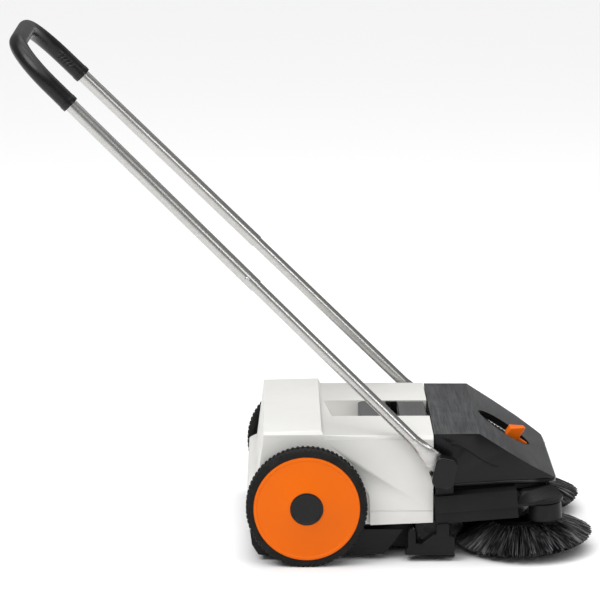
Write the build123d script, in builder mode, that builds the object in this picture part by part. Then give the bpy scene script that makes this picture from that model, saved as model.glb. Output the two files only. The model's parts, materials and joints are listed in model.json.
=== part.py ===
from build123d import *
from math import asin, atan2, cos, degrees, hypot, pi, radians, sin, tan
import os

# Walk-behind sweeper, millimetres. X points forward, Y to the machine's left, Z up.
# The model is drawn with X = 0 at the wheel axle and moved at the end so that the
# origin lies on the floor under the middle of the whole machine.

# ---------------------------------------------------------------- driving sizes
# wheels
wheel_dia = 235.0
tyre_width = 40.0
tyre_depth = 14.2
wheel_inner_y = 232.0
rim_thickness = 6.0
wheel_disc_gap = 0.3
wheel_disc_thickness = 3.0
hub_cap_radius = 32.0
hub_cap_height = 2.5
axle_dia = 16.0

# front unit: everything driven by the belts lies in a frame that rises forward
drive_tilt = 4.5
arm_inner_y = 181.0
arm_outer_y = 209.0
arm_wall = 3.0
arm_rear = -26.0
part_line_w = -40.0
arm_top_w = -6.0
cover_bottom_w = -62.0
beam_front_u = 408.0
beam_rear_u = 247.5
beam_inner_y = 196.0
beam_outer_y = 236.0
deck_thickness = 4.0
running_fit = 0.05

# gears and belts
gear_module = 2.0
crown_teeth = 38
pinion_teeth = 12
crown_face = 10.0
belt_thickness = 2.0
belt_width = 9.0
belt_gap = 0.3
rear_pulley_radius = 8.0
belt_mid_w = -52.5
bend_u = 267.0

# disc brushes
brush_u = 422.0
brush_y = 136.0
brush_radius = 135.5
brush_floor_gap = 1.2
brush_plate_radius = 60.0
brush_shaft_dia = 12.0
brush_pulley_radius = 20.0

# nose
guide_roller_u = 463.0
guide_roller_y = 195.0
guide_roller_radius = 32.0
guide_roller_height = 37.0
roller_pin_dia = 10.0

# hood
hood_rear_x = 248.0
hood_front_x = 489.0
hood_half_width = 203.0
hood_nose_half_width = 165.0
hood_top_z = 248.0
hood_flat_end_x = 336.0
hood_lip_z = 149.0
hood_wall = 3.0

# dirt container
bin_rear_x = -117.0
bin_front_x = 246.0
bin_half_width = 225.0
bin_top_half_width = 212.0
bin_top_z = 248.0
bin_box_top_z = 258.0
bin_box_front_x = 34.0
bin_wall = 3.0
tub_half_width = 170.0
recess_half_width = 62.0
recess_floor_z = 210.0

# handle
pivot_x = 266.0
pivot_z = 185.0
handle_angle = 44.8
handle_length = 1003.0
handle_pivot_y = 235.0
handle_grip_y = 195.0
lower_tube_dia = 23.0
upper_tube_dia = 26.0
tube_wall = 1.4
tube_joint = 511.0
tube_overlap = 60.0
snap_button_at = 534.0
snap_button_dia = 9.0
snap_button_travel = 3.5
grip_dia = 34.0
grip_rise = 3.0
grip_leg = 150.0

# height adjuster and front support roller
adjuster_length = 125.0
adjuster_width = 106.0
adjuster_start = 12.0
knob_travel = 40.0
caster_x = 335.0
caster_radius = 20.0
caster_width = 24.0
stem_size = 20.0

# ---------------------------------------------------------------- derived frames
axle_z = wheel_dia / 2
tilt = radians(drive_tilt)
wheel_outer_y = wheel_inner_y + tyre_width
belt_y = (arm_inner_y + arm_outer_y) / 2
pinion_radius = gear_module * pinion_teeth / 2
crown_radius = gear_module * crown_teeth / 2
crown_pitch_y = belt_y - pinion_radius
drive = Plane(origin=(0, 0, axle_z), x_dir=(cos(tilt), 0, sin(tilt)), z_dir=(-sin(tilt), 0, cos(tilt)))
pieces = {}


def drive_point(u, y, w):
    """The point u forward, y left and w up in the drive frame."""
    return Vector(u * cos(tilt) - w * sin(tilt), y, axle_z + u * sin(tilt) + w * cos(tilt))


def drive_z(x, w):
    """Height above the floor of the drive frame's level w at the place x."""
    return axle_z + x * tan(tilt) + w / cos(tilt)


def keep(part, label):
    """Names a finished piece and puts it on the list that is written at the end."""
    part.label = label
    pieces[label] = part


def keep_pair(part, label):
    """Keeps a left-hand piece and its mirror image on the right."""
    keep(part, label + "_left")
    keep(mirror(part, about=Plane.XZ), label + "_right")


def keep_both(part, label):
    """Keeps a left-hand piece and its mirror image as one node of two solids."""
    keep(Compound([*part.solids(), *mirror(part, about=Plane.XZ).solids()]), label)


def side_slab(points, y_in, y_out, radius=0.0):
    """A plate between y_in and y_out whose outline is given as (x, z) points."""
    with BuildPart() as slab:
        with BuildSketch(Plane.XZ.offset(-y_out)) as outline:
            with BuildLine():
                Polyline(*points, close=True)
            make_face()
            if radius:
                fillet(outline.vertices(), radius)
        extrude(amount=y_out - y_in)
    return slab.part


def drive_box(u0, u1, y0, y1, w0, w1):
    """A block with its edges along the drive frame."""
    with BuildPart() as block:
        with BuildSketch(drive.offset(w0)):
            with Locations(((u0 + u1) / 2, (y0 + y1) / 2)):
                Rectangle(u1 - u0, y1 - y0)
        extrude(amount=w1 - w0)
    return block.part


def wheel_ring(profile):
    """A body turned about the wheel axle from (radius, y) points."""
    with BuildPart() as ring:
        with BuildSketch(Plane(origin=(0, 0, axle_z), x_dir=(1, 0, 0), z_dir=(0, 0, 1))):
            with BuildLine():
                Polyline(*profile, close=True)
            make_face()
        revolve(axis=Axis((0, 0, axle_z), (0, 1, 0)))
    return ring.part


def drive_turned(u, y, profile):
    """A body turned about the drive frame's upright at (u, y) from (radius, w) points."""
    turning = Plane(origin=drive_point(u, y, 0), x_dir=(cos(tilt), 0, sin(tilt)), z_dir=(0, -1, 0))
    with BuildPart() as turned:
        with BuildSketch(turning):
            with BuildLine():
                Polyline(*profile, close=True)
            make_face()
        revolve(axis=Axis(turning.origin, drive.z_dir))
    return turned.part


# ---------------------------------------------------------------- wheels
tyre_inner_radius = axle_z - tyre_depth
shoulder = 4.0
tyre = wheel_ring(
    [
        (tyre_inner_radius, wheel_inner_y),
        (axle_z - shoulder, wheel_inner_y),
        (axle_z, wheel_inner_y + shoulder),
        (axle_z, wheel_outer_y - shoulder),
        (axle_z - shoulder, wheel_outer_y),
        (tyre_inner_radius, wheel_outer_y),
    ]
)
keep_pair(tyre, "tyre")

disc_inner_y = wheel_outer_y - wheel_disc_gap - wheel_disc_thickness
web_y = wheel_inner_y + 8
barrel_radius = 20.0
wheel_hub = wheel_ring(
    [
        (axle_dia / 2, wheel_inner_y - 4),
        (barrel_radius, wheel_inner_y - 4),
        (barrel_radius, web_y),
        (tyre_inner_radius - rim_thickness, web_y),
        (tyre_inner_radius - rim_thickness, wheel_inner_y + 3),
        (tyre_inner_radius, wheel_inner_y + 3),
        (tyre_inner_radius, disc_inner_y),
        (tyre_inner_radius - rim_thickness, disc_inner_y),
        (tyre_inner_radius - rim_thickness, web_y + 4),
        (barrel_radius, web_y + 4),
        (barrel_radius, disc_inner_y),
        (axle_dia / 2, disc_inner_y),
    ]
)
keep_pair(wheel_hub, "wheel_hub")

wheel_disc = wheel_ring(
    [
        (0, disc_inner_y),
        (tyre_inner_radius - wheel_disc_gap, disc_inner_y),
        (tyre_inner_radius - wheel_disc_gap, disc_inner_y + wheel_disc_thickness),
        (0, disc_inner_y + wheel_disc_thickness),
    ]
)
keep_pair(wheel_disc, "wheel_disc")

cap_y = disc_inner_y + wheel_disc_thickness
cap_outer_face_y = cap_y + hub_cap_height
hub_cap = wheel_ring(
    [
        (0, cap_y),
        (hub_cap_radius, cap_y),
        (hub_cap_radius - 1, cap_outer_face_y),
        (0, cap_outer_face_y),
    ]
)
keep_pair(hub_cap, "hub_cap")

crown_root_y = crown_pitch_y - 2.3
crown_tip_y = crown_pitch_y + 1.7
crown_back_y = crown_root_y - 4.8
axle_end_y = disc_inner_y - 1
axle_shaft = wheel_ring(
    [
        (0, crown_back_y),
        (axle_dia / 2, crown_back_y),
        (axle_dia / 2, axle_end_y),
        (0, axle_end_y),
    ]
)
keep_pair(axle_shaft, "axle_shaft")

# The crown gear's teeth stand on its outer face. A gap lies at the foot of the wheel,
# where the pinion's tooth is.
crown_inner = crown_radius - crown_face / 2
tooth_planes = []
for tooth in range(crown_teeth):
    turn = 2 * pi * (tooth + 0.5) / crown_teeth - pi / 2 + tilt
    radial = Vector(cos(turn), 0, sin(turn))
    along = Vector(-sin(turn), 0, cos(turn))
    foot = Vector(0, crown_root_y, axle_z) + radial * crown_inner
    tooth_planes.append(Plane(origin=foot, x_dir=along, z_dir=radial))
tooth_rise = crown_tip_y - crown_root_y
tooth_root_half = 1.5
tooth_tip_half = 0.5
with BuildPart() as crown_gear:
    with BuildSketch(Plane.XZ.offset(-crown_root_y)):
        with Locations((0, axle_z)):
            Circle(crown_radius + crown_face / 2)
            Circle(axle_dia / 2, mode=Mode.SUBTRACT)
    extrude(amount=crown_root_y - crown_back_y)
    for tooth_plane in tooth_planes:
        outward = 1 if tooth_plane.y_dir.Y > 0 else -1
        with BuildSketch(tooth_plane):
            with BuildLine():
                Polyline(
                    (-tooth_root_half, -0.2 * outward),
                    (tooth_root_half, -0.2 * outward),
                    (tooth_tip_half, tooth_rise * outward),
                    (-tooth_tip_half, tooth_rise * outward),
                    close=True,
                )
            make_face()
        extrude(amount=crown_face)
keep_pair(crown_gear.part, "crown_gear")

# ---------------------------------------------------------------- pinion and belt drive
pinion_w = -crown_radius
pinion_half_height = 6.0
pinion_tip = pinion_radius + 1.7
pinion_root = pinion_radius - 2.4
pulley_low_w = belt_mid_w - belt_width / 2 - 0.6
pulley_high_w = belt_mid_w + belt_width / 2 + 0.6
pinion_shaft_dia = 8.0
boss_bottom_w = -28.0
pinion_points = []
for tooth in range(pinion_teeth):
    middle = 2 * pi * tooth / pinion_teeth - pi / 2
    for reach, half in ((pinion_root, -1.5), (pinion_tip, -0.5), (pinion_tip, 0.5), (pinion_root, 1.5)):
        at = middle + half / reach
        pinion_points.append((reach * cos(at), belt_y + reach * sin(at)))
with BuildPart() as drive_pinion:
    with BuildSketch(drive.offset(cover_bottom_w + 0.4)):
        with Locations((0, belt_y)):
            Circle(pinion_shaft_dia / 2)
    extrude(amount=boss_bottom_w + 12 - cover_bottom_w - 0.4)
    with BuildSketch(drive.offset(pinion_w - pinion_half_height)):
        with BuildLine():
            Polyline(*pinion_points, close=True)
        make_face()
    extrude(amount=2 * pinion_half_height)
    with BuildSketch(drive.offset(pulley_low_w)):
        with Locations((0, belt_y)):
            Circle(rear_pulley_radius)
    extrude(amount=pulley_high_w - pulley_low_w + 0.4)
    for flange_w in (pulley_low_w - 0.8, pulley_high_w):
        with BuildSketch(drive.offset(flange_w)):
            with Locations((0, belt_y)):
                Circle(rear_pulley_radius + 1.8)
        extrude(amount=0.8)
keep_pair(drive_pinion.part, "drive_pinion")

# The belt leaves the rear pulley along the arm, bends round two guides behind the
# front beam and ends round the brush pulley.
rear_belt_radius = rear_pulley_radius + belt_gap + belt_thickness / 2
front_belt_radius = brush_pulley_radius + belt_gap + belt_thickness / 2
guide_bend = 8.0
bend_outer = (bend_u, belt_y + rear_belt_radius)
bend_inner = (bend_u - 4, belt_y - rear_belt_radius)
bend_mid = ((bend_outer[0] + bend_inner[0]) / 2, (bend_outer[1] + bend_inner[1]) / 2)
to_brush = atan2(brush_y - bend_mid[1], brush_u - bend_mid[0])
belt_end = (brush_u + front_belt_radius * cos(to_brush), brush_y + front_belt_radius * sin(to_brush))


def belt_corner(bend, side):
    """Where the strand that leaves a bend and touches the brush pulley meets the belt's end line."""
    reach = hypot(brush_u - bend[0], brush_y - bend[1])
    heading = atan2(brush_y - bend[1], brush_u - bend[0]) + side * asin(front_belt_radius / reach)
    ahead = (belt_end[0] - bend[0]) * cos(to_brush) + (belt_end[1] - bend[1]) * sin(to_brush)
    run = ahead / cos(heading - to_brush)
    return (bend[0] + run * cos(heading), bend[1] + run * sin(heading))


belt_route = [
    (-rear_belt_radius, belt_y - rear_belt_radius),
    (-rear_belt_radius, belt_y + rear_belt_radius),
    bend_outer,
    belt_corner(bend_outer, 1),
    belt_corner(bend_inner, -1),
    bend_inner,
]
belt_radii = [
    rear_belt_radius - 0.01,
    rear_belt_radius - 0.01,
    guide_bend,
    front_belt_radius - 0.01,
    front_belt_radius - 0.01,
    guide_bend,
]
with BuildPart() as drive_belt:
    with BuildSketch(drive.offset(belt_mid_w - belt_width / 2)):
        with BuildLine():
            FilletPolyline(*belt_route, radius=belt_radii, close=True)
        make_face()
        offset(amount=belt_thickness / 2)
    extrude(amount=belt_width)
    with BuildSketch(drive.offset(belt_mid_w - belt_width / 2)):
        with BuildLine():
            FilletPolyline(*belt_route, radius=belt_radii, close=True)
        make_face()
        offset(amount=-belt_thickness / 2)
    extrude(amount=belt_width, mode=Mode.SUBTRACT)
keep_pair(drive_belt.part, "drive_belt")

# ---------------------------------------------------------------- hood outline, shared with the deck
nose_points = [
    (hood_rear_x, -hood_half_width),
    (390, -hood_half_width + 2),
    (440, -hood_half_width + 10),
    (477, -172),
    (hood_front_x, -hood_nose_half_width + 4),
    (hood_front_x, hood_nose_half_width - 4),
    (477, 172),
    (440, hood_half_width - 10),
    (390, hood_half_width - 2),
    (hood_rear_x, hood_half_width),
]


rim_w = 0.0
rim_bend_x = 414.0
rim_front_z = hood_lip_z - 9
slope_run = hood_front_x - hood_flat_end_x
slope_angle = degrees(atan2(hood_top_z - hood_lip_z, slope_run))


def hood_outline(inset):
    """The hood seen from above, drawn in by the inset."""
    with BuildSketch(Plane.XY) as outline:
        with BuildLine():
            Polyline(*nose_points, close=True)
        make_face()
        fillet(outline.vertices().group_by(Axis.X)[-1], 10)
        fillet(outline.vertices().group_by(Axis.X)[-3], 12)
        if inset:
            offset(amount=-inset)
    return outline.sketch


def hood_prism(inset, z0, z1):
    """An upright body with the hood's outline."""
    plan = hood_outline(inset)
    with BuildPart() as prism:
        with BuildSketch(Plane.XY.offset(z0)):
            add(plan)
        extrude(amount=z1 - z0)
    return prism.part


def hood_profile(inset, open_bottom):
    """Side view of the hood, drawn in by the inset on the top, the slope and the rear."""
    drop = inset / cos(radians(slope_angle))
    past = 5.0
    slope_end = (hood_front_x + past, hood_lip_z - past * tan(radians(slope_angle)) - drop)
    flat_end = (hood_flat_end_x - inset * tan(radians(slope_angle / 2)), hood_top_z - inset)
    if open_bottom:
        below = [(hood_front_x + past, 60), (hood_rear_x + inset, 60)]
    else:
        below = [
            (hood_front_x + past, rim_front_z - 0.5),
            (rim_bend_x, drive_z(rim_bend_x, rim_w)),
            (hood_rear_x, drive_z(hood_rear_x, rim_w)),
        ]
    return [(hood_rear_x + inset, hood_top_z - inset), flat_end, slope_end, *below]


# ---------------------------------------------------------------- chassis
deck_bottom_w = arm_top_w - 4 - deck_thickness
deck_top_w = deck_bottom_w + deck_thickness
upstand_top_w = 8.0
deck_slab = drive_box(150, 600, -300, 300, deck_bottom_w, deck_top_w)
upstand_slab = drive_box(150, 600, -300, 300, deck_bottom_w, upstand_top_w)
crown_clear = crown_radius + crown_face / 2 + 4
boss_inner_y = crown_tip_y + 3
boss_outer_y = arm_outer_y - 1
bush_wall = 2.0
caster_u = caster_x * cos(tilt) - (axle_z - caster_radius) * sin(tilt)
flange_thickness = 6.0
fender_top_w = -15.0
fender_points = [
    (beam_front_u - 2, 158),
    (guide_roller_u + 24, 158),
    (guide_roller_u + 36, guide_roller_y - 6),
    (guide_roller_u - 22, guide_roller_y + 36),
    (beam_front_u - 2, beam_outer_y),
]


with BuildPart() as front_member:
    # beam and arm, then the belt channel inside them, open at the parting line
    with BuildSketch(drive.offset(part_line_w)):
        with Locations(((beam_rear_u + beam_front_u) / 2, (beam_inner_y + beam_outer_y) / 2)):
            Rectangle(beam_front_u - beam_rear_u, beam_outer_y - beam_inner_y)
        with Locations(((arm_rear + beam_rear_u) / 2, belt_y)):
            Rectangle(beam_rear_u - arm_rear, arm_outer_y - arm_inner_y)
    extrude(amount=arm_top_w - part_line_w)
    with BuildSketch(drive.offset(part_line_w)):
        with Locations(((beam_rear_u + beam_front_u) / 2, (beam_inner_y + beam_outer_y) / 2)):
            Rectangle(beam_front_u - beam_rear_u - 2 * arm_wall, beam_outer_y - beam_inner_y - 2 * arm_wall)
        with Locations(((arm_rear + beam_rear_u) / 2 + arm_wall, belt_y)):
            Rectangle(beam_rear_u - arm_rear, arm_outer_y - arm_inner_y - 2 * arm_wall)
    extrude(amount=arm_top_w - part_line_w - arm_wall, mode=Mode.SUBTRACT)
    # room for the crown gear and for the pinion's teeth
    with BuildSketch(drive.offset(part_line_w)):
        with Locations((0, (arm_inner_y + boss_inner_y) / 2)):
            Rectangle(2 * crown_clear, boss_inner_y - arm_inner_y + 0.02)
        with Locations((0, arm_outer_y)):
            Rectangle(2 * pinion_tip + 6, 4 * arm_wall)
    extrude(amount=-boss_bottom_w + 60, mode=Mode.SUBTRACT)
    # axle boss with the bores for the axle's bush and the pinion's shaft
    with BuildSketch(drive.offset(boss_bottom_w)):
        with Locations((0, (boss_inner_y + boss_outer_y) / 2)):
            Rectangle(52, boss_outer_y - boss_inner_y)
    extrude(amount=-boss_bottom_w + 22)
    with BuildSketch(drive.offset(boss_bottom_w)):
        with Locations((0, belt_y)):
            Circle(pinion_shaft_dia / 2 + running_fit)
    extrude(amount=13, mode=Mode.SUBTRACT)
    with BuildSketch(Plane.XZ.offset(-boss_outer_y)):
        with Locations((0, axle_z)):
            Circle(axle_dia / 2 + bush_wall)
    extrude(amount=boss_outer_y - boss_inner_y, mode=Mode.SUBTRACT)
    # nose fender: a flange over the guide roller, rising to the deck
    with BuildSketch(drive.offset(part_line_w)):
        with BuildLine():
            Polyline(*fender_points, close=True)
        make_face()
        with Locations((guide_roller_u, guide_roller_y)):
            Circle(guide_roller_radius + 4)
    extrude(amount=flange_thickness)
    with BuildSketch(drive.offset(part_line_w + flange_thickness)):
        with BuildLine():
            Polyline(*[(u, y - 3) for u, y in fender_points], close=True)
        make_face()
    extrude(amount=fender_top_w - part_line_w - flange_thickness, taper=38)

brush_boss_radius = 15.0
hood_inside = side_slab(hood_profile(hood_wall + 0.3, True), -300, 300)
deck_plate = hood_prism(hood_wall, 60, 260) & deck_slab & hood_inside
upstand_room = hood_prism(2 * hood_wall, 60, 260)
upstand_ring = (hood_prism(hood_wall, 60, 260) - upstand_room) & upstand_slab & hood_inside
right_member = mirror(front_member.part, about=Plane.XZ)
with BuildPart() as chassis:
    add([deck_plate, upstand_ring, front_member.part, right_member])
    with BuildSketch(drive.offset(part_line_w)):
        with Locations((brush_u, brush_y), (brush_u, -brush_y)):
            Circle(brush_boss_radius)
        with Locations((caster_u, 0)):
            Rectangle(stem_size + 10, stem_size + 10)
    extrude(amount=deck_top_w - part_line_w + 2)
    with BuildSketch(drive.offset(part_line_w)):
        with Locations((beam_rear_u + 8, 0)):
            Rectangle(8, 2 * beam_inner_y)
    extrude(amount=deck_top_w - part_line_w)
    with BuildSketch(drive.offset(part_line_w)):
        with Locations((brush_u, brush_y), (brush_u, -brush_y)):
            Circle(brush_shaft_dia / 2 + bush_wall)
        with Locations((caster_u, 0)):
            Rectangle(stem_size + 0.6, stem_size + 0.6)
    extrude(amount=80, both=True, mode=Mode.SUBTRACT)
    with BuildSketch(drive.offset(part_line_w)):
        with Locations((guide_roller_u, guide_roller_y), (guide_roller_u, -guide_roller_y)):
            Circle(roller_pin_dia / 2)
    extrude(amount=14, mode=Mode.SUBTRACT)
keep(chassis.part, "chassis")

axle_bush = wheel_ring(
    [
        (axle_dia / 2 + running_fit, boss_inner_y),
        (axle_dia / 2 + bush_wall, boss_inner_y),
        (axle_dia / 2 + bush_wall, boss_outer_y),
        (axle_dia / 2 + running_fit, boss_outer_y),
    ]
)
keep_both(axle_bush, "axle_bushes")

brush_bush = drive_turned(
    brush_u,
    brush_y,
    [
        (brush_shaft_dia / 2 + running_fit, part_line_w),
        (brush_shaft_dia / 2 + bush_wall, part_line_w),
        (brush_shaft_dia / 2 + bush_wall, deck_top_w + 2),
        (brush_shaft_dia / 2 + running_fit, deck_top_w + 2),
    ],
)
keep_both(brush_bush, "brush_bushes")

# ---------------------------------------------------------------- belt covers
cover_floor = 2.5
cover_wall = 2.5
pulley_room = front_belt_radius + belt_thickness / 2 + 3
cover_step = 4.0
cover_points = [
    (beam_rear_u, beam_outer_y - cover_step),
    (beam_front_u, beam_outer_y - cover_step),
    (434, 160),
    (442, 118),
    (404, 108),
    (300, 138),
    (beam_rear_u, 166),
]


def cover_outline(inset):
    """Plan of a belt cover: the arm's strip and the wide part under the beam."""
    with BuildSketch(Plane.XY) as outline:
        with BuildLine():
            Polyline(*cover_points, close=True)
        make_face()
        with Locations(((arm_rear + beam_rear_u) / 2, belt_y)):
            Rectangle(beam_rear_u - arm_rear + 1, arm_outer_y - arm_inner_y)
        with Locations((brush_u, brush_y)):
            Circle(pulley_room + cover_wall)
        if inset:
            offset(amount=-inset)
    return outline.sketch


cover_plan = cover_outline(0)
cover_room = cover_outline(cover_wall)
with BuildPart() as drive_cover:
    with BuildSketch(drive.offset(cover_bottom_w)):
        add(cover_plan)
    extrude(amount=part_line_w - cover_bottom_w)
    with BuildSketch(drive.offset(cover_bottom_w + cover_floor)):
        add(cover_room)
    extrude(amount=part_line_w - cover_bottom_w, mode=Mode.SUBTRACT)
    with BuildSketch(drive.offset(-crown_radius - crown_face / 2 - 3)):
        with Locations((0, belt_y)):
            Rectangle(2 * crown_clear, 2 * (arm_outer_y - arm_inner_y))
    extrude(amount=30, mode=Mode.SUBTRACT)
    with BuildSketch(drive.offset(cover_bottom_w)):
        with Locations((0, belt_y)):
            Circle(pinion_shaft_dia / 2 + running_fit)
        with Locations((brush_u, brush_y)):
            Circle(brush_shaft_dia / 2 + 1)
    extrude(amount=20, both=True, mode=Mode.SUBTRACT)
keep_pair(drive_cover.part, "drive_cover")

guide_radius = guide_bend - belt_thickness / 2 - belt_gap
guide_spots = []
for bend, side in ((bend_outer, 1), (bend_inner, -1)):
    far_u, far_y = belt_corner(bend, side)
    turn = atan2(far_y - bend[1], far_u - bend[0])
    guide_spots.append((bend[0] - guide_bend * tan(-turn / 2), bend[1] - guide_bend))
with BuildPart() as belt_guides:
    with BuildSketch(drive.offset(cover_bottom_w + cover_floor)):
        with Locations(*guide_spots):
            Circle(guide_radius)
    extrude(amount=part_line_w - cover_bottom_w - cover_floor - 1)
keep_both(belt_guides.part, "belt_guides")

# ---------------------------------------------------------------- disc brushes
plate_bottom_w = -94.0
plate_top_w = -84.0
brush_plate = drive_turned(
    brush_u,
    brush_y,
    [
        (brush_shaft_dia / 2, plate_bottom_w),
        (brush_plate_radius, plate_bottom_w),
        (brush_plate_radius, plate_bottom_w + 4),
        (brush_plate_radius - 6, plate_top_w),
        (18, plate_top_w + 2),
        (16, cover_bottom_w - 3),
        (brush_shaft_dia / 2, cover_bottom_w - 3),
    ],
)
keep_pair(brush_plate, "brush_plate")

brush_shaft = drive_turned(
    brush_u,
    brush_y,
    [
        (0, plate_bottom_w),
        (brush_shaft_dia / 2, plate_bottom_w),
        (brush_shaft_dia / 2, deck_top_w + 4),
        (0, deck_top_w + 4),
    ],
)
keep_pair(brush_shaft, "brush_shaft")

brush_pulley = drive_turned(
    brush_u,
    brush_y,
    [
        (brush_shaft_dia / 2, pulley_low_w - 0.8),
        (brush_pulley_radius + 1.8, pulley_low_w - 0.8),
        (brush_pulley_radius + 1.8, pulley_low_w),
        (brush_pulley_radius, pulley_low_w),
        (brush_pulley_radius, pulley_high_w),
        (brush_pulley_radius + 1.8, pulley_high_w),
        (brush_pulley_radius + 1.8, pulley_high_w + 0.8),
        (brush_shaft_dia / 2, pulley_high_w + 0.8),
    ],
)
keep_pair(brush_pulley, "brush_pulley")

tip_w = (brush_floor_gap - axle_z - (brush_u - brush_radius) * sin(tilt)) / cos(tilt)
brush_bristles = drive_turned(
    brush_u,
    brush_y,
    [
        (38, plate_bottom_w),
        (brush_plate_radius, plate_bottom_w),
        (brush_plate_radius, plate_bottom_w + 4),
        (brush_radius * 0.55, plate_bottom_w + 1),
        (brush_radius - 6, plate_bottom_w - 27),
        (brush_radius, tip_w + 8),
        (brush_radius - 2, tip_w),
        (brush_radius - 38, tip_w),
        (50, plate_bottom_w - 14),
    ],
)
keep_pair(brush_bristles, "brush_bristles")

# ---------------------------------------------------------------- guide rollers
roller_top_w = part_line_w - 2
guide_roller = drive_turned(
    guide_roller_u,
    guide_roller_y,
    [
        (roller_pin_dia / 2 + running_fit, roller_top_w - guide_roller_height),
        (guide_roller_radius - 3, roller_top_w - guide_roller_height),
        (guide_roller_radius, roller_top_w - guide_roller_height + 3),
        (guide_roller_radius, roller_top_w - 2),
        (guide_roller_radius - 2, roller_top_w),
        (roller_pin_dia / 2 + running_fit, roller_top_w),
    ],
)
keep_pair(guide_roller, "guide_roller")

roller_pin = drive_turned(
    guide_roller_u,
    guide_roller_y,
    [
        (0, roller_top_w - guide_roller_height - 0.6),
        (0, part_line_w + 14),
        (roller_pin_dia / 2, part_line_w + 14),
        (roller_pin_dia / 2, roller_top_w - guide_roller_height - 0.6),
    ],
)
keep_both(roller_pin, "guide_roller_pins")

# ---------------------------------------------------------------- hood


slope_plane = Plane(
    origin=(hood_flat_end_x, 0, hood_top_z),
    x_dir=(cos(radians(slope_angle)), 0, -sin(radians(slope_angle))),
    z_dir=(sin(radians(slope_angle)), 0, cos(radians(slope_angle))),
)
eye_middle = adjuster_start + adjuster_length / 2


def eye_sketch(grow):
    """The pointed oval of the height adjuster, flat, for placing on the slope."""
    half = adjuster_length / 2 + grow
    bulge = adjuster_width / 2 + grow
    with BuildSketch(Plane.XY) as eye:
        with BuildLine():
            ThreePointArc((eye_middle - half, 0), (eye_middle, bulge), (eye_middle + half, 0))
            ThreePointArc((eye_middle + half, 0), (eye_middle, -bulge), (eye_middle - half, 0))
        make_face()
    return eye.sketch


dish_depth = 12.0
dish_wall = 2.0
groove_depth = 1.2
groove_points = [(278, 228), (295, 229), (317, 213), (340, 196), (356, 186), (372, 180)]
latch_slot_half = 22.0
eye_opening = eye_sketch(0)
eye_floor = eye_sketch(-dish_wall)
hood_body = side_slab(hood_profile(0, False), -300, 300) & hood_prism(0, 60, 300)
hood_room = side_slab(hood_profile(hood_wall, True), -300, 300) & hood_prism(hood_wall, 40, 300)
with BuildPart() as hood:
    add(hood_body)
    add(hood_room, mode=Mode.SUBTRACT)
    with BuildSketch(slope_plane):
        add(eye_opening)
    extrude(amount=-30, mode=Mode.SUBTRACT)
    for sign in (1, -1):
        with BuildSketch(Plane.XZ.offset(sign * (hood_half_width - groove_depth))):
            with BuildLine():
                Spline(*groove_points)
            trace(line_width=3.5)
        extrude(amount=sign * 10, mode=Mode.SUBTRACT)
    with BuildSketch(Plane.YZ.offset(hood_rear_x - 1)):
        with Locations((0, 230)):
            Rectangle(2 * latch_slot_half, 15)
    extrude(amount=hood_wall + 2, mode=Mode.SUBTRACT)
keep(hood.part, "hood")

# the adjuster's dish: a sunk tray under the opening, with a slot for the knob's stem
knob_body_start = 84.0
knob_body_end = 112.0
knob_half_width = 17.0
stem_width = 8.0
stem_at = 98.0
slot_gap = 0.6
with BuildPart() as adjuster_dish:
    with BuildSketch(slope_plane):
        add(eye_opening)
    extrude(amount=-dish_depth)
    with BuildSketch(slope_plane):
        add(eye_floor)
    extrude(amount=-dish_depth + dish_wall, mode=Mode.SUBTRACT)
    with BuildSketch(slope_plane):
        with Locations((stem_at - knob_travel / 2, 0)):
            Rectangle(knob_travel + stem_width + 2 * slot_gap, stem_width + 2 * slot_gap)
    extrude(amount=-dish_depth - 2, mode=Mode.SUBTRACT)
keep(adjuster_dish.part, "adjuster_dish")

knob_low = -dish_depth + dish_wall + slot_gap
knob_tail_end = 132.0
with BuildPart() as height_knob:
    with BuildSketch(slope_plane.offset(knob_low)):
        with BuildLine():
            Polyline(
                (knob_body_start, -knob_half_width),
                (knob_body_start, knob_half_width),
                (knob_body_end - 4, 10),
                (knob_body_end, 5),
                (knob_tail_end, 3.5),
                (knob_tail_end, -3.5),
                (knob_body_end, -5),
                (knob_body_end - 4, -10),
                close=True,
            )
        make_face()
    extrude(amount=8)
    with BuildSketch(slope_plane.offset(knob_low + 8)):
        with BuildLine():
            Polyline(
                (knob_body_start, -knob_half_width),
                (knob_body_start, knob_half_width),
                (knob_body_end - 4, 10),
                (knob_body_end, 5),
                (knob_body_end, -5),
                (knob_body_end - 4, -10),
                close=True,
            )
        make_face()
    extrude(amount=24)
    level_cut = Plane(
        origin=slope_plane.from_local_coords((knob_body_start, 0, 8)), x_dir=(1, 0, 0), z_dir=(0, 0, 1)
    )
    split(bisect_by=level_cut, keep=Keep.BOTTOM)
    with BuildSketch(slope_plane.offset(knob_low)):
        with Locations((stem_at, 0)):
            Rectangle(stem_width, stem_width)
    extrude(amount=-14)
keep(height_knob.part, "height_knob")

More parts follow.
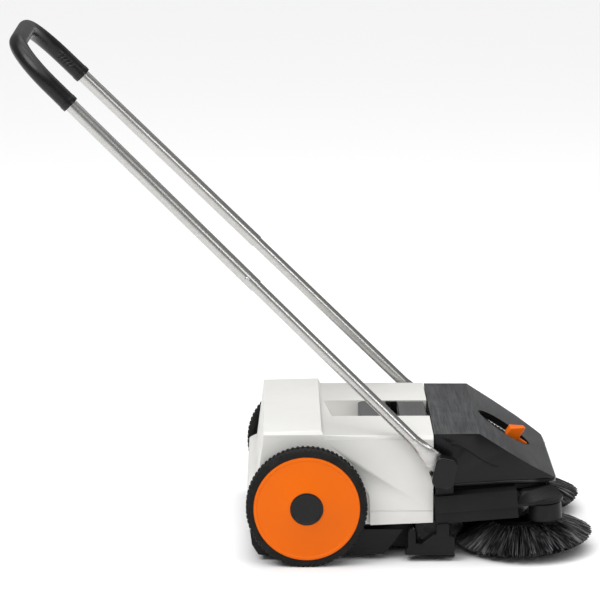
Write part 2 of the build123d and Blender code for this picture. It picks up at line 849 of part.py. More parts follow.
# ---------------------------------------------------------------- front support roller
stem_bottom_w = -101.0
roller_w = -caster_x * sin(tilt) + (caster_radius - axle_z) * cos(tilt)
fork_gap = 1.0
fork_wall = 4.0
fork_half = caster_width / 2 + fork_gap + fork_wall
caster_pin_dia = 8.0
caster_axis = drive_point(caster_u, 0, roller_w)
with BuildPart() as caster_fork:
    with BuildSketch(drive.offset(stem_bottom_w + 6)):
        with Locations((caster_u, 0)):
            Rectangle(stem_size, stem_size)
    extrude(amount=deck_top_w + 14 - stem_bottom_w - 6)
    with BuildSketch(drive.offset(stem_bottom_w)):
        with Locations((caster_u, 0)):
            Rectangle(stem_size + 4, 2 * fork_half)
    extrude(amount=6)
    for sign in (1, -1):
        with BuildSketch(drive.offset(roller_w - 8)):
            with Locations((caster_u, sign * (fork_half - fork_wall / 2))):
                Rectangle(stem_size + 4, fork_wall)
        extrude(amount=stem_bottom_w - roller_w + 8)
    with BuildSketch(Plane.XZ.offset(-100)):
        with Locations((caster_axis.X, caster_axis.Z)):
            Circle(caster_pin_dia / 2)
    extrude(amount=200, mode=Mode.SUBTRACT)
keep(caster_fork.part, "caster_fork")


def caster_ring(radius_in, radius_out, half_width):
    """A body turned about the support roller's own axle."""
    with BuildPart() as ring:
        with BuildSketch(Plane.XZ.offset(-half_width)):
            with Locations((caster_axis.X, caster_axis.Z)):
                Circle(radius_out)
                if radius_in:
                    Circle(radius_in, mode=Mode.SUBTRACT)
        extrude(amount=2 * half_width)
    return ring.part


keep(caster_ring(caster_pin_dia / 2 + running_fit, caster_radius, caster_width / 2), "caster_roller")
keep(caster_ring(0, caster_pin_dia / 2, fork_half), "caster_pin")

# ---------------------------------------------------------------- container cradles and dirt ramp
foot_bottom_z = 14.0
foot_inner_y = 214.0
foot_outer_y = 238.0
cradle_points = [
    (192, foot_bottom_z),
    (288, foot_bottom_z),
    (288, 50),
    (277, 53),
    (277, drive_z(277, cover_bottom_w)),
    (252, drive_z(252, cover_bottom_w)),
    (252, 56),
    (246, 54),
    (222, 35),
    (212, 38),
    (212, 60),
    (208, 65),
    (201, 65),
    (197, 60),
    (197, 30),
    (192, 24),
]
keep_pair(side_slab(cradle_points, foot_inner_y, foot_outer_y), "bin_cradle")

ramp_points = [(286, 4), (290, 4), (290, 8), (216, 44), (213, 40)]
ramp = side_slab(ramp_points, -foot_inner_y, foot_inner_y)
keep(ramp, "dirt_ramp")

# ---------------------------------------------------------------- handle pivots
bracket_inner_y = 208.0
plate_half = 4.0
plate_y = handle_pivot_y
bracket_outer_y = plate_y - plate_half - 0.5
bracket_points = [
    (250, drive_z(250, arm_top_w)),
    (285, drive_z(285, arm_top_w)),
    (285, pivot_z + 6),
    (278, pivot_z + 15),
    (256, pivot_z + 15),
    (250, pivot_z + 6),
]
stud_dia = 14.0
plate_half_width = 17.5
handle_dir = Vector(-cos(radians(handle_angle)), 0, sin(radians(handle_angle)))
handle_up = Vector(sin(radians(handle_angle)), 0, cos(radians(handle_angle)))
pivot = Vector(pivot_x, 0, pivot_z)


def handle_xz(along, across):
    """The (x, z) place that lies along the handle from its pivot and across above its line."""
    place = pivot + handle_dir * along + handle_up * across
    return (place.X, place.Z)


stop_gap = 0.2
stop_level = -plate_half_width - stop_gap
stop_points = [
    handle_xz(6, stop_level),
    handle_xz(16, stop_level),
    handle_xz(16, stop_level - 7),
    handle_xz(-12, stop_level - 16),
    handle_xz(-12, stop_level - 4),
]
bracket_post = side_slab(bracket_points, bracket_inner_y, bracket_outer_y)
bracket_stop = side_slab(stop_points, bracket_outer_y - 4, plate_y + plate_half)
with BuildPart() as pivot_bracket:
    add([bracket_post, bracket_stop])
    with BuildSketch(Plane.XZ.offset(-bracket_outer_y)):
        with Locations((pivot_x, pivot_z)):
            Circle(stud_dia / 2)
    extrude(amount=bracket_outer_y - bracket_inner_y - 4, mode=Mode.SUBTRACT)
keep_pair(pivot_bracket.part, "pivot_bracket")

cap_outer_y = 265.0
stud_end_y = cap_outer_y - 5
with BuildPart() as pivot_stud:
    with BuildSketch(Plane.XZ.offset(-stud_end_y)):
        with Locations((pivot_x, pivot_z)):
            Circle(stud_dia / 2)
    extrude(amount=stud_end_y - bracket_inner_y - 4)
keep_both(pivot_stud.part, "pivot_studs")

# ---------------------------------------------------------------- handle
tube_lean = (handle_grip_y - handle_pivot_y) / handle_length


def tube_plane(along):
    """The plane across the left handle tube at a distance from the pivot."""
    place = pivot + handle_dir * along + Vector(0, handle_pivot_y + tube_lean * along, 0)
    run = (handle_dir + Vector(0, tube_lean, 0)).normalized()
    return Plane(origin=place, x_dir=handle_up, z_dir=run)


def tube(start, end, outer, inner):
    """A straight tube of the left handle leg."""
    with BuildPart() as pipe:
        with BuildSketch(tube_plane(start)):
            Circle(outer)
            if inner:
                Circle(inner, mode=Mode.SUBTRACT)
        extrude(amount=end - start)
    return pipe.part


plate_end = 34.0
tube_start = 84.0
lower_radius = lower_tube_dia / 2
upper_radius = upper_tube_dia / 2
flat_end = Plane(
    origin=pivot + handle_dir * plate_end + Vector(0, plate_y, 0), x_dir=handle_up, z_dir=handle_dir
)
button_hole = snap_button_dia / 2 + 0.3
button_plane = tube_plane(snap_button_at)
outward = Plane(origin=button_plane.origin, x_dir=handle_dir, z_dir=(0, 1, 0))
lower_pipe = tube(tube_start, tube_joint + tube_overlap, lower_radius, lower_radius - tube_wall)
with BuildPart() as handle_tube_lower:
    with BuildSketch(Plane.XZ.offset(-plate_y - plate_half)):
        with BuildLine():
            Polyline(
                handle_xz(-10, plate_half_width - 5),
                handle_xz(-5, plate_half_width),
                handle_xz(plate_end, plate_half_width),
                handle_xz(plate_end, -plate_half_width),
                handle_xz(-5, -plate_half_width),
                handle_xz(-10, -plate_half_width + 5),
                close=True,
            )
        make_face()
        with Locations((pivot_x, pivot_z)):
            Circle(stud_dia / 2 + running_fit, mode=Mode.SUBTRACT)
    extrude(amount=2 * plate_half)
    with BuildSketch(flat_end):
        RectangleRounded(2 * plate_half_width, 2 * plate_half, plate_half - 0.2)
    with BuildSketch(tube_plane(tube_start)):
        Circle(lower_radius)
    loft()
    add(lower_pipe)
    with BuildSketch(outward):
        Circle(button_hole)
    extrude(amount=30, mode=Mode.SUBTRACT)
keep_pair(handle_tube_lower.part, "handle_tube_lower")

grip_overlap = 70.0
upper_pipe = tube(tube_joint, handle_length + grip_overlap, upper_radius, lower_radius + 0.1)
with BuildPart() as handle_tube_upper:
    add(upper_pipe)
    with BuildSketch(outward):
        Circle(button_hole)
    extrude(amount=30, mode=Mode.SUBTRACT)
keep_pair(handle_tube_upper.part, "handle_tube_upper")

button_base = lower_radius - tube_wall - 4.5
with BuildPart() as snap_button:
    with BuildSketch(outward.offset(button_base)):
        Circle(snap_button_dia / 2)
    extrude(amount=upper_radius + 2.5 - button_base)
    fillet(snap_button.edges().sort_by(Axis.Y)[-1], 1.5)
keep_pair(snap_button.part, "snap_button")

# The cap leans with the handle's end and closes its stud.
cap_lean = 12.0
cap_plane = Plane(
    origin=(pivot_x, cap_outer_y, pivot_z),
    x_dir=(cos(radians(cap_lean)), 0, -sin(radians(cap_lean))),
    z_dir=(0, 1, 0),
)
with BuildPart() as pivot_cap:
    with BuildSketch(cap_plane):
        RectangleRounded(43, 60, 13)
    extrude(amount=-(cap_outer_y - plate_y - plate_half - 0.05))
    fillet(pivot_cap.edges().group_by(Axis.Y)[-1], 2.5)
    with BuildSketch(Plane.XZ.offset(-plate_y)):
        with Locations((pivot_x, pivot_z)):
            Circle(stud_dia / 2 + 0.3)
    extrude(amount=-(stud_end_y + 1 - plate_y), mode=Mode.SUBTRACT)
keep_pair(pivot_cap.part, "pivot_cap")

# ---------------------------------------------------------------- grip
grip_radius = grip_dia / 2
grip_foot = tube_plane(handle_length)
corner = grip_foot.origin + grip_foot.z_dir * grip_leg
brow = pivot + handle_dir * (handle_length + grip_leg + 1) + handle_up * grip_rise + Vector(0, 70, 0)
route = [
    grip_foot.origin,
    corner,
    brow,
    Vector(brow.X, -brow.Y, brow.Z),
    Vector(corner.X, -corner.Y, corner.Z),
    Vector(grip_foot.origin.X, -grip_foot.origin.Y, grip_foot.origin.Z),
]
grip_socket = tube(handle_length - 1, handle_length + grip_overlap + 1, upper_radius, 0)
other_socket = mirror(grip_socket, about=Plane.XZ)
with BuildPart() as handle_grip:
    with BuildLine() as grip_line:
        FilletPolyline(*route, radius=[100, 60, 60, 100])
    with BuildSketch(Plane(origin=grip_line.wire() @ 0, z_dir=grip_line.wire() % 0)):
        Circle(grip_radius)
    sweep()
    add([grip_socket, other_socket], mode=Mode.SUBTRACT)
keep(handle_grip.part, "handle_grip")

# ---------------------------------------------------------------- container shell
recess_rear_top = 38.0
recess_rear_floor = 58.0
arch_inner_y = 217.0
arch_points = [(-80, 20), (-80, 232), (42, 232), (86, 195), (122, 130), (126, 20)]


def bin_body(inset, top_inset, open_bottom):
    """The container's outer shape, drawn in by the insets; side view crossed with end view and plan."""
    low = -60.0 if open_bottom else 0.0
    main_points = [
        (bin_rear_x + inset, 62 + low),
        (bin_rear_x + 4 + inset, 129 - inset),
        (-97 + inset, 137 - inset),
        (-83 + inset, bin_top_z - top_inset),
        (bin_front_x - inset, bin_top_z - top_inset),
        (bin_front_x - inset, 76 + low),
    ]
    box_points = [
        (-90 + inset, 150),
        (-83 + inset, bin_box_top_z - 3 - top_inset),
        (bin_box_front_x - 5 - inset, bin_box_top_z - top_inset),
        (bin_box_front_x - inset, bin_top_z - 1 - top_inset),
        (bin_box_front_x - inset, 150),
    ]
    half = bin_half_width - inset
    top_half = bin_top_half_width - inset
    with BuildPart() as plan:
        with BuildSketch(Plane.XY):
            with BuildLine():
                Polyline(
                    (bin_rear_x + inset, -half),
                    (bin_front_x - inset, -half),
                    (bin_front_x - inset, half),
                    (bin_rear_x + inset, half),
                    close=True,
                )
            corners = make_face()
            fillet(corners.vertices().group_by(Axis.X)[0], 20)
        extrude(amount=300)
    body = None
    for side_points, top in ((main_points, bin_top_z), (box_points, bin_box_top_z)):
        with BuildPart() as crossing:
            with BuildSketch(Plane.YZ.offset(bin_rear_x - 10)):
                with BuildLine():
                    Polyline(
                        (-half, 0),
                        (half, 0),
                        (half, 62),
                        (top_half + 3, top - 8 - top_inset),
                        (top_half - 4, top - top_inset + 0.5),
                        (-top_half + 4, top - top_inset + 0.5),
                        (-top_half - 3, top - 8 - top_inset),
                        (-half, 62),
                        close=True,
                    )
                make_face()
            extrude(amount=bin_front_x - bin_rear_x + 20)
        crossed = side_slab(side_points, -300, 300) & crossing.part & plan.part
        body = crossed if body is None else body + crossed
    return body


def recess_block(grow):
    """The sunk space in the middle of the container's top, which holds the carry grip."""
    return side_slab(
        [
            (recess_rear_top - grow, 300),
            (recess_rear_top - grow, bin_top_z),
            (recess_rear_floor - grow, recess_floor_z - grow),
            (bin_front_x + 30, recess_floor_z - grow),
            (bin_front_x + 30, 300),
        ],
        -recess_half_width - grow,
        recess_half_width + grow,
    )


slot_half = axle_dia / 2 + 6
shell_outer = bin_body(0, 0, False) - recess_block(0)
shell_room = bin_body(bin_wall, bin_wall, True) - recess_block(bin_wall)
arch_cut = side_slab(arch_points, arch_inner_y, 300, 6)
arch_room = side_slab(arch_points, arch_inner_y - bin_wall, 300, 6)
shell_space = shell_room - arch_room - mirror(arch_room, about=Plane.XZ)
mouth_half = bin_half_width - 8
front_mouth = side_slab([(230, 0), (260, 0), (260, 140), (230, 140)], -mouth_half, mouth_half)
arch_cuts = [arch_cut, mirror(arch_cut, about=Plane.XZ)]
with BuildPart() as bin_shell:
    add(shell_outer)
    add([*arch_cuts, shell_space, front_mouth], mode=Mode.SUBTRACT)
    with BuildSketch(Plane.XZ):
        with Locations((0, axle_z - 100)):
            Rectangle(2 * slot_half, 200)
        with Locations((0, axle_z)):
            Circle(slot_half)
    extrude(amount=300, both=True, mode=Mode.SUBTRACT)
keep(bin_shell.part, "bin_shell")

# ---------------------------------------------------------------- container tray
apron_outer_y = 222.0
apron_inner_y = 219.0
tray_low = [(-110, 61.8), (-106, 32), (-94, 12), (-71, 8), (150, 12), (160, 23), (188, 61.8)]
tub_outer = [(-73, 236), (-88, 140), (-102, 61.8), (-92, 14), (-71, 9), (200, 12), (207, 48), (207, 236)]
tub_inner = [
    (-70, 240),
    (-85, 140),
    (-99, 61.8),
    (-89, 17),
    (-70, 12),
    (197.5, 15),
    (204, 48),
    (250, 48),
    (250, 240),
]
lug_points = [(214, 78), (230, 78), (230, 66), (224, 49), (220, 49), (214, 60)]
low_body = side_slab(tray_low, -apron_outer_y, apron_outer_y)
tub_body = side_slab(tub_outer, -tub_half_width, tub_half_width)
tub_space = side_slab(tub_inner, bin_wall - tub_half_width, tub_half_width - bin_wall)
# the pockets beside the tub leave room for the arms and gears as the container lifts off
pocket_rear_x = -crown_clear - 3
rear_wall_x = pocket_rear_x - bin_wall
pocket_points = [(pocket_rear_x, -20), (260, -20), (260, 100), (pocket_rear_x, 100)]
pocket = side_slab(pocket_points, tub_half_width, apron_inner_y)
rear_points = [(-101, 61.9), (-100, 34), (-91, 17), (rear_wall_x, 13), (rear_wall_x, 61.9)]
rear_room = side_slab(rear_points, tub_half_width, apron_inner_y)
side_spaces = [pocket, mirror(pocket, about=Plane.XZ), rear_room, mirror(rear_room, about=Plane.XZ)]
with BuildPart() as bin_tray:
    add([low_body, tub_body])
    add([tub_space, *side_spaces], mode=Mode.SUBTRACT)
    for sign in (1, -1):
        with BuildSketch(Plane.XY):
            with Locations((0, sign * (apron_inner_y + apron_outer_y) / 2)):
                Rectangle(2 * slot_half, 2 * (apron_outer_y - apron_inner_y))
        extrude(amount=100, mode=Mode.SUBTRACT)
keep(bin_tray.part, "bin_tray")
keep_both(side_slab(lug_points, foot_inner_y + 0.6, apron_outer_y - 1.3), "bin_lugs")

# ---------------------------------------------------------------- carry grip and latch
grip_bar_rear_x = 107.0
finger_rear_x = 157.0
finger_front_x = 176.0
latch_rear_x = 187.0
cheek = 9.0
carry_half = recess_half_width - 3
with BuildPart() as carry_grip:
    with BuildSketch(Plane.XY.offset(recess_floor_z)) as plan:
        with Locations(((grip_bar_rear_x + finger_front_x) / 2, 0)):
            Rectangle(finger_front_x - grip_bar_rear_x, 2 * carry_half)
        fillet(plan.vertices().group_by(Axis.X)[0], 12)
    extrude(amount=bin_top_z - recess_floor_z)
    with BuildSketch(Plane.XY.offset(recess_floor_z)):
        with Locations(((finger_rear_x + finger_front_x + 20) / 2, 0)):
            Rectangle(finger_front_x + 20 - finger_rear_x, 2 * (carry_half - cheek))
    extrude(amount=60, mode=Mode.SUBTRACT)
    with BuildSketch(Plane.XY.offset(recess_floor_z)):
        with Locations(((grip_bar_rear_x + 10 + finger_rear_x) / 2, 0)):
            Rectangle(finger_rear_x - grip_bar_rear_x - 10 + 0.2, 2 * (carry_half - cheek))
    extrude(amount=18, mode=Mode.SUBTRACT)
keep(carry_grip.part, "carry_grip")

latch_front_x = 240.0
latch_top_z = bin_top_z - 1
latch_half = carry_half - 1
tongue_half = 19.0
tongue_front_x = bin_front_x - 0.5
tongue_rear_x = latch_front_x - 14
tongue_low_z = 225.0
tongue_thickness = 9.0
with BuildPart() as bin_latch:
    with BuildSketch(Plane.XY.offset(latch_top_z - 8)):
        with Locations(((latch_rear_x + latch_front_x) / 2, 0)):
            Rectangle(latch_front_x - latch_rear_x, 2 * latch_half)
    extrude(amount=8)
    for sign in (1, -1):
        with BuildSketch(Plane.XY.offset(recess_floor_z + 0.4)):
            with Locations(((latch_rear_x + 8 + latch_front_x) / 2, sign * (latch_half - 3))):
                Rectangle(latch_front_x - latch_rear_x - 8, 6)
        extrude(amount=latch_top_z - 8 - recess_floor_z - 0.4)
    with BuildSketch(Plane.XY.offset(tongue_low_z)):
        with Locations(((tongue_rear_x + tongue_front_x) / 2, 0)):
            Rectangle(tongue_front_x - tongue_rear_x, 2 * tongue_half)
    extrude(amount=tongue_thickness)
    with BuildSketch(Plane.XY.offset(tongue_low_z + tongue_thickness)):
        with Locations(((tongue_rear_x + latch_front_x) / 2, 0)):
            Rectangle(latch_front_x - tongue_rear_x, 2 * tongue_half)
    extrude(amount=latch_top_z - 8 - tongue_low_z - tongue_thickness)
keep(bin_latch.part, "bin_latch")

# ---------------------------------------------------------------- screws
screw_radius = 3.0
with BuildPart() as cover_screws:
    for sign in (1, -1):
        with BuildSketch(drive.offset(cover_bottom_w - 2)):
            with Locations((120, sign * belt_y), (330, sign * 222)):
                Circle(screw_radius)
        extrude(amount=2)
keep(cover_screws.part, "cover_screws")

# ---------------------------------------------------------------- place and write
grip_rear_x = min(handle_grip.part.bounding_box().min.X, bin_rear_x)
brush_front_x = brush_bristles.bounding_box().max.X
x_mid = (grip_rear_x + brush_front_x) / 2
os.makedirs("parts", exist_ok=True)
for label, piece in pieces.items():
    placed = piece.moved(Location((-x_mid, 0, 0)))
    placed.label = label
    export_step(placed, "parts/" + label + ".step")
print("axle at x", round(-x_mid, 3), "pieces", len(pieces))
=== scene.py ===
# %% [markdown]
# # A walk-behind sweeper
# The engineering model is loaded first: every part of it already sits in its place, in
# metres, with the floor at height zero and +X pointing forward. This lesson gives that
# model its looks. Some parts only need a good material. Others are made again with finer
# shapes: the tyres get tread, the brushes get bristles, and moulded covers get soft edges.

import json
import random
from math import atan2, cos, hypot, pi, radians, sin

import bmesh
import bpy
from mathutils import Matrix, Vector


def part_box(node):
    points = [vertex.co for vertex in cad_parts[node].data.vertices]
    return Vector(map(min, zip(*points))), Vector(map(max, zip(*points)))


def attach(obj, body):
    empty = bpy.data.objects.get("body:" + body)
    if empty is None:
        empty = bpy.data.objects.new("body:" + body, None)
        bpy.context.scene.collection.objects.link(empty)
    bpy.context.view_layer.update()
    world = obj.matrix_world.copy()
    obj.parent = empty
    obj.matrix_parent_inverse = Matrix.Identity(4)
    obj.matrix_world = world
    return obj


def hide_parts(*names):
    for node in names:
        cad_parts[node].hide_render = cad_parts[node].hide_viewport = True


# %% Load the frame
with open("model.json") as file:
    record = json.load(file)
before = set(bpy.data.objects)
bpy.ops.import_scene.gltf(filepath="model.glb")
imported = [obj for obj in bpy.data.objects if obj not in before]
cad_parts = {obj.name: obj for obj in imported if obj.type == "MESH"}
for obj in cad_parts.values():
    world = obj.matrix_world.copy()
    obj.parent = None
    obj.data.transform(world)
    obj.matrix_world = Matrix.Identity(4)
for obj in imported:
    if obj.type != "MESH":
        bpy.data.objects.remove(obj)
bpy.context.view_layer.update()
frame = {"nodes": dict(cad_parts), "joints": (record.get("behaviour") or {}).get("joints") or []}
nodes = frame["nodes"]
joints = {joint["name"]: joint for joint in frame["joints"]}

# %% [markdown]
# ## Places that the pieces share
# The wheels turn about a level axle. The brushes and guide rollers turn about an upright
# that leans with the front unit. The handle folds about a level line through its two feet.
# These places are read from the joints, so a new piece fits the part it stands for.

# %% Axes and centres
sides = {"left": 1.0, "right": -1.0}
wheel_centre = {side: Vector(joints[f"wheel_{side}_spin"]["pos_m"]) for side in sides}
brush_centre = {side: Vector(joints[f"brush_{side}_spin"]["pos_m"]) for side in sides}
upright = Vector(joints["brush_left_spin"]["axis"]).normalized()
handle_pivot = Vector(joints["handle_fold"]["pos_m"])
across = Vector((0, 1, 0))
wheel_radius = wheel_centre["left"].z
tyre_low, tyre_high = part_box("tyre_left")
tyre_inner_y, tyre_outer_y = tyre_low.y, tyre_high.y
print("wheel radius", round(wheel_radius, 4), "tyre from", round(tyre_inner_y, 3))

# %% [markdown]
# ## Writing shaders as sums
# A procedural material is a small calculation. The Wire class below wraps one socket, so
# that adding or multiplying wires adds the Math nodes. Finish holds one material, and its
# node method makes any other kind of node.

# %% Shader helpers


class Wire:
    """One value in a material; arithmetic on it adds Math nodes."""

    def __init__(self, finish, socket):
        self.finish = finish
        self.socket = socket

    def math(self, operation, first, second):
        return self.finish.math(operation, first, second)

    def __add__(self, other):
        return self.math("ADD", self, other)

    def __radd__(self, other):
        return self.math("ADD", other, self)

    def __sub__(self, other):
        return self.math("SUBTRACT", self, other)

    def __rsub__(self, other):
        return self.math("SUBTRACT", other, self)

    def __mul__(self, other):
        return self.math("MULTIPLY", self, other)

    def __rmul__(self, other):
        return self.math("MULTIPLY", other, self)


class Finish:
    """One material: a principled shader and the nodes that feed it."""

    def __init__(self, name):
        self.material = bpy.data.materials.new(name)
        self.material.use_nodes = True
        self.tree = self.material.node_tree
        self.tree.nodes.clear()
        self.shader = self.tree.nodes.new("ShaderNodeBsdfPrincipled")
        output = self.tree.nodes.new("ShaderNodeOutputMaterial")
        self.tree.links.new(self.shader.outputs["BSDF"], output.inputs["Surface"])

    def feed(self, socket, value):
        if isinstance(value, Wire):
            self.tree.links.new(value.socket, socket)
        else:
            socket.default_value = value

    def node(self, kind, settings, inputs, output=0):
        made = self.tree.nodes.new(kind)
        for name, value in settings.items():
            if name == "stops":
                ramp = made.color_ramp
                while len(ramp.elements) < len(value):
                    ramp.elements.new(0.5)
                for element, (position, shade) in zip(ramp.elements, value):
                    element.position = position
                    element.color = (shade, shade, shade, 1)
            else:
                setattr(made, name, value)
        for name, value in inputs.items():
            self.feed(made.inputs[name], value)
        return Wire(self, made.outputs[output])

    def math(self, operation, *values):
        return self.node("ShaderNodeMath", {"operation": operation}, dict(enumerate(values)))

    def set(self, **values):
        for name, value in values.items():
            self.feed(self.shader.inputs[name.replace("_", " ")], value)

    def place(self, scale=(1, 1, 1), turn=(0, 0, 0)):
        """Object coordinates, turned and stretched."""
        spot = self.node("ShaderNodeTexCoord", {}, {}, "Object")
        return self.node(
            "ShaderNodeMapping", {}, {"Vector": spot, "Scale": scale, "Rotation": turn}
        )

    def noise(self, scale, detail=3.0, roughness=0.55, where=None):
        where = where or self.place()
        inputs = {"Vector": where, "Scale": scale, "Detail": detail, "Roughness": roughness}
        return self.node("ShaderNodeTexNoise", {}, inputs, 0)

    def ramp(self, value, *stops):
        return self.node("ShaderNodeValToRGB", {"stops": stops}, {"Fac": value}, 0)

    def mix(self, share, first, second):
        inputs = {"Factor": share, 6: first, 7: second}
        return self.node("ShaderNodeMix", {"data_type": "RGBA"}, inputs, 2)

    def bump(self, height, distance, strength=1.0):
        inputs = {"Height": height, "Distance": distance, "Strength": strength}
        return self.node("ShaderNodeBump", {}, inputs, 0)


def shade(red, green, blue):
    return (red, green, blue, 1.0)


print("shader helpers ready")

# %% [markdown]
# ## Moulded plastics
# The covers are injection-moulded. Up close such plastic has a fine spark-eroded grain,
# a little unevenness in gloss where hands and dirt have been, and patches of thin dust.
# One function makes them all: the colour, the gloss and the grain differ.

# %% Moulded plastic


def moulded(name, colour, dust, rough, grain_mm, grain_depth, dust_share, shine=0.5):
    """A moulded plastic; shine is how strongly it mirrors its surroundings."""
    finish = Finish(name)
    cloud = finish.noise(9.0, 4.0)
    speck = finish.noise(1000.0 / grain_mm, 2.0, 0.5)
    scuff = finish.noise(60.0, 6.0, 0.7)
    smudge = finish.ramp(cloud, (0.35, 0.0), (0.75, 1.0))
    worn = finish.ramp(scuff, (0.62, 0.0), (0.72, 1.0))
    finish.set(
        Base_Color=finish.mix(smudge * dust_share + worn * (dust_share * 0.5), colour, dust),
        Roughness=rough + smudge * 0.07 + speck * 0.05,
        Specular_IOR_Level=shine,
        Normal=finish.bump(speck, grain_depth, 0.6),
    )
    return finish.material


def grey(level):
    return shade(level, level, level)


warm_white, cream_dust = shade(0.665, 0.660, 0.635), shade(0.58, 0.57, 0.54)
soot, ash_dust = shade(0.006, 0.006, 0.0065), shade(0.022, 0.021, 0.020)
lacquer = shade(0.004, 0.004, 0.0045)
slate = shade(0.075, 0.075, 0.077)
orange, orange_dust = shade(0.74, 0.130, 0.002), shade(0.64, 0.115, 0.003)
nylon, nylon_grease = shade(0.62, 0.60, 0.52), shade(0.45, 0.43, 0.36)
shell_white = moulded("container_plastic", warm_white, cream_dust, 0.38, 0.9, 0.00008, 0.3)
black_plastic = moulded("black_moulding", soot, ash_dust, 0.34, 0.8, 0.0001, 0.3, 0.16)
gloss_black = moulded("glossy_black", lacquer, grey(0.012), 0.20, 1.2, 0.00003, 0.2, 0.24)
# Painted shade: a near-black, dull finish for hollows: the knob's dish, the finger hole's well and
# the carry grip's front inside the hole.
recess_shade_black = moulded("recess_shade_black", grey(0.003), grey(0.012), 0.5, 0.6, 0.00008, 0.3, 0.08)
grey_plastic = moulded("grey_moulding", slate, grey(0.11), 0.36, 0.8, 0.00008, 0.4, 0.25)
orange_plastic = moulded("orange_moulding", orange, orange_dust, 0.38, 1.0, 0.00005, 0.3, 0.12)
white_ink = moulded("white_ink", grey(0.8), grey(0.6), 0.5, 0.6, 0.00003, 0.3)
gear_nylon = moulded("gear_nylon", nylon, nylon_grease, 0.45, 0.7, 0.00006, 0.5)
print("plastics", shell_white.name, black_plastic.name, orange_plastic.name, "and five more")

# %% [markdown]
# ## The hood's brushed top
# The hood's top has a coarse satin grain that runs across the machine, like a brushed
# sheet. A noise that is squeezed along the machine and stretched across it draws those
# strokes, and it drives colour, gloss and height together.

# %% Brushed hood finish
hood_finish = Finish("hood_brushed")
squeezed = hood_finish.place(scale=(420.0, 14.0, 300.0))
strokes = hood_finish.noise(1.0, 5.0, 0.65, squeezed)
patches = hood_finish.noise(14.0, 3.0)
grain_and_glint = hood_finish.ramp(strokes * 0.75 + patches * 0.25, (0.32, 0.0), (0.72, 1.0))
hood_finish.set(
    Base_Color=hood_finish.mix(grain_and_glint, shade(0.012, 0.012, 0.013), shade(0.085, 0.087, 0.090)),
    Roughness=0.44 + grain_and_glint * 0.16,
    Specular_IOR_Level=0.22,
    Normal=hood_finish.bump(strokes, 0.00016, 0.7),
)
hood_brushed = hood_finish.material
print("brushed finish", hood_brushed.name)

# %% [markdown]
# ## Rubber
# Tyre rubber is a dull black with patches of grey dust rubbed into it. The grip is a
# denser, smoother rubber with a slight sheen, so it gets less roughness and more shine.

# %% Rubbers


def rubber(name, colour, dust, rough, dust_share, grain_depth, shine=0.14):
    finish = Finish(name)
    fine = finish.noise(900.0, 2.0)
    dirt = finish.ramp(finish.noise(45.0, 6.0, 0.7), (0.42, 0.0), (0.75, 1.0))
    finish.set(
        Base_Color=finish.mix(dirt * dust_share, colour, dust),
        Roughness=rough + dirt * 0.12,
        Specular_IOR_Level=shine,
        Normal=finish.bump(fine, grain_depth, 0.6),
    )
    return finish.material


tread_dust, belt_dust = shade(0.035, 0.033, 0.030), shade(0.05, 0.045, 0.04)
roller_black, grip_black = shade(0.010, 0.010, 0.011), shade(0.006, 0.006, 0.007)
tyre_rubber = rubber("tyre_rubber", grey(0.007), tread_dust, 0.6, 0.4, 0.00012)
roller_rubber = rubber("roller_rubber", roller_black, grey(0.03), 0.36, 0.35, 0.0001)
grip_rubber = rubber("grip_rubber", grip_black, grey(0.018), 0.26, 0.3, 0.00006, 0.3)
belt_rubber = rubber("belt_rubber", grey(0.015), belt_dust, 0.6, 0.5, 0.00012)
print("rubbers", tyre_rubber.name, roller_rubber.name, grip_rubber.name, belt_rubber.name)

# %% [markdown]
# ## Metals
# The handle is drawn aluminium tube: bright, with hair-fine lines along its length in its gloss and
# height, and with its colour darker in streaks along it. Lines and streaks come from a noise that is
# turned to lie along the tube and stretched that way.

# %% Metals
tube_low, tube_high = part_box("handle_tube_upper_left")
tube_lean = atan2(tube_high.z - handle_pivot.z, handle_pivot.x - tube_low.x)


def metal(name, colour, rough, stretch, turn=(0, 0, 0)):
    """A bright metal; stretch and turn lay its hair-fine lines along the part."""
    finish = Finish(name)
    lines = finish.noise(1.0, 3.0, 0.6, finish.place(scale=stretch, turn=turn))
    stain = finish.ramp(finish.noise(30.0, 5.0, 0.6), (0.45, 0.0), (0.8, 1.0))
    darker = tuple(0.45 * part for part in colour[:3]) + (1.0,)
    finish.set(
        Base_Color=finish.mix(stain * 0.1 + lines * 0.5, colour, darker),
        Metallic=1.0,
        Roughness=rough + lines * 0.12 + stain * 0.05,
        Normal=finish.bump(lines, 0.00002, 0.35),
    )
    return finish.material


aluminium, zinc, brass = shade(0.56, 0.555, 0.54), shade(0.62, 0.62, 0.63), shade(0.72, 0.52, 0.22)
along_tube = (3.0, 240.0, 240.0)
tube_metal = metal("drawn_aluminium", aluminium, 0.22, along_tube, (0, -tube_lean, 0))
zinc_steel = metal("zinc_steel", zinc, 0.28, (600.0, 600.0, 60.0))
bush_brass = metal("turned_brass", brass, 0.30, (500.0, 60.0, 500.0))
print("metals", tube_metal.name, zinc_steel.name, bush_brass.name, "lean", round(tube_lean, 3))
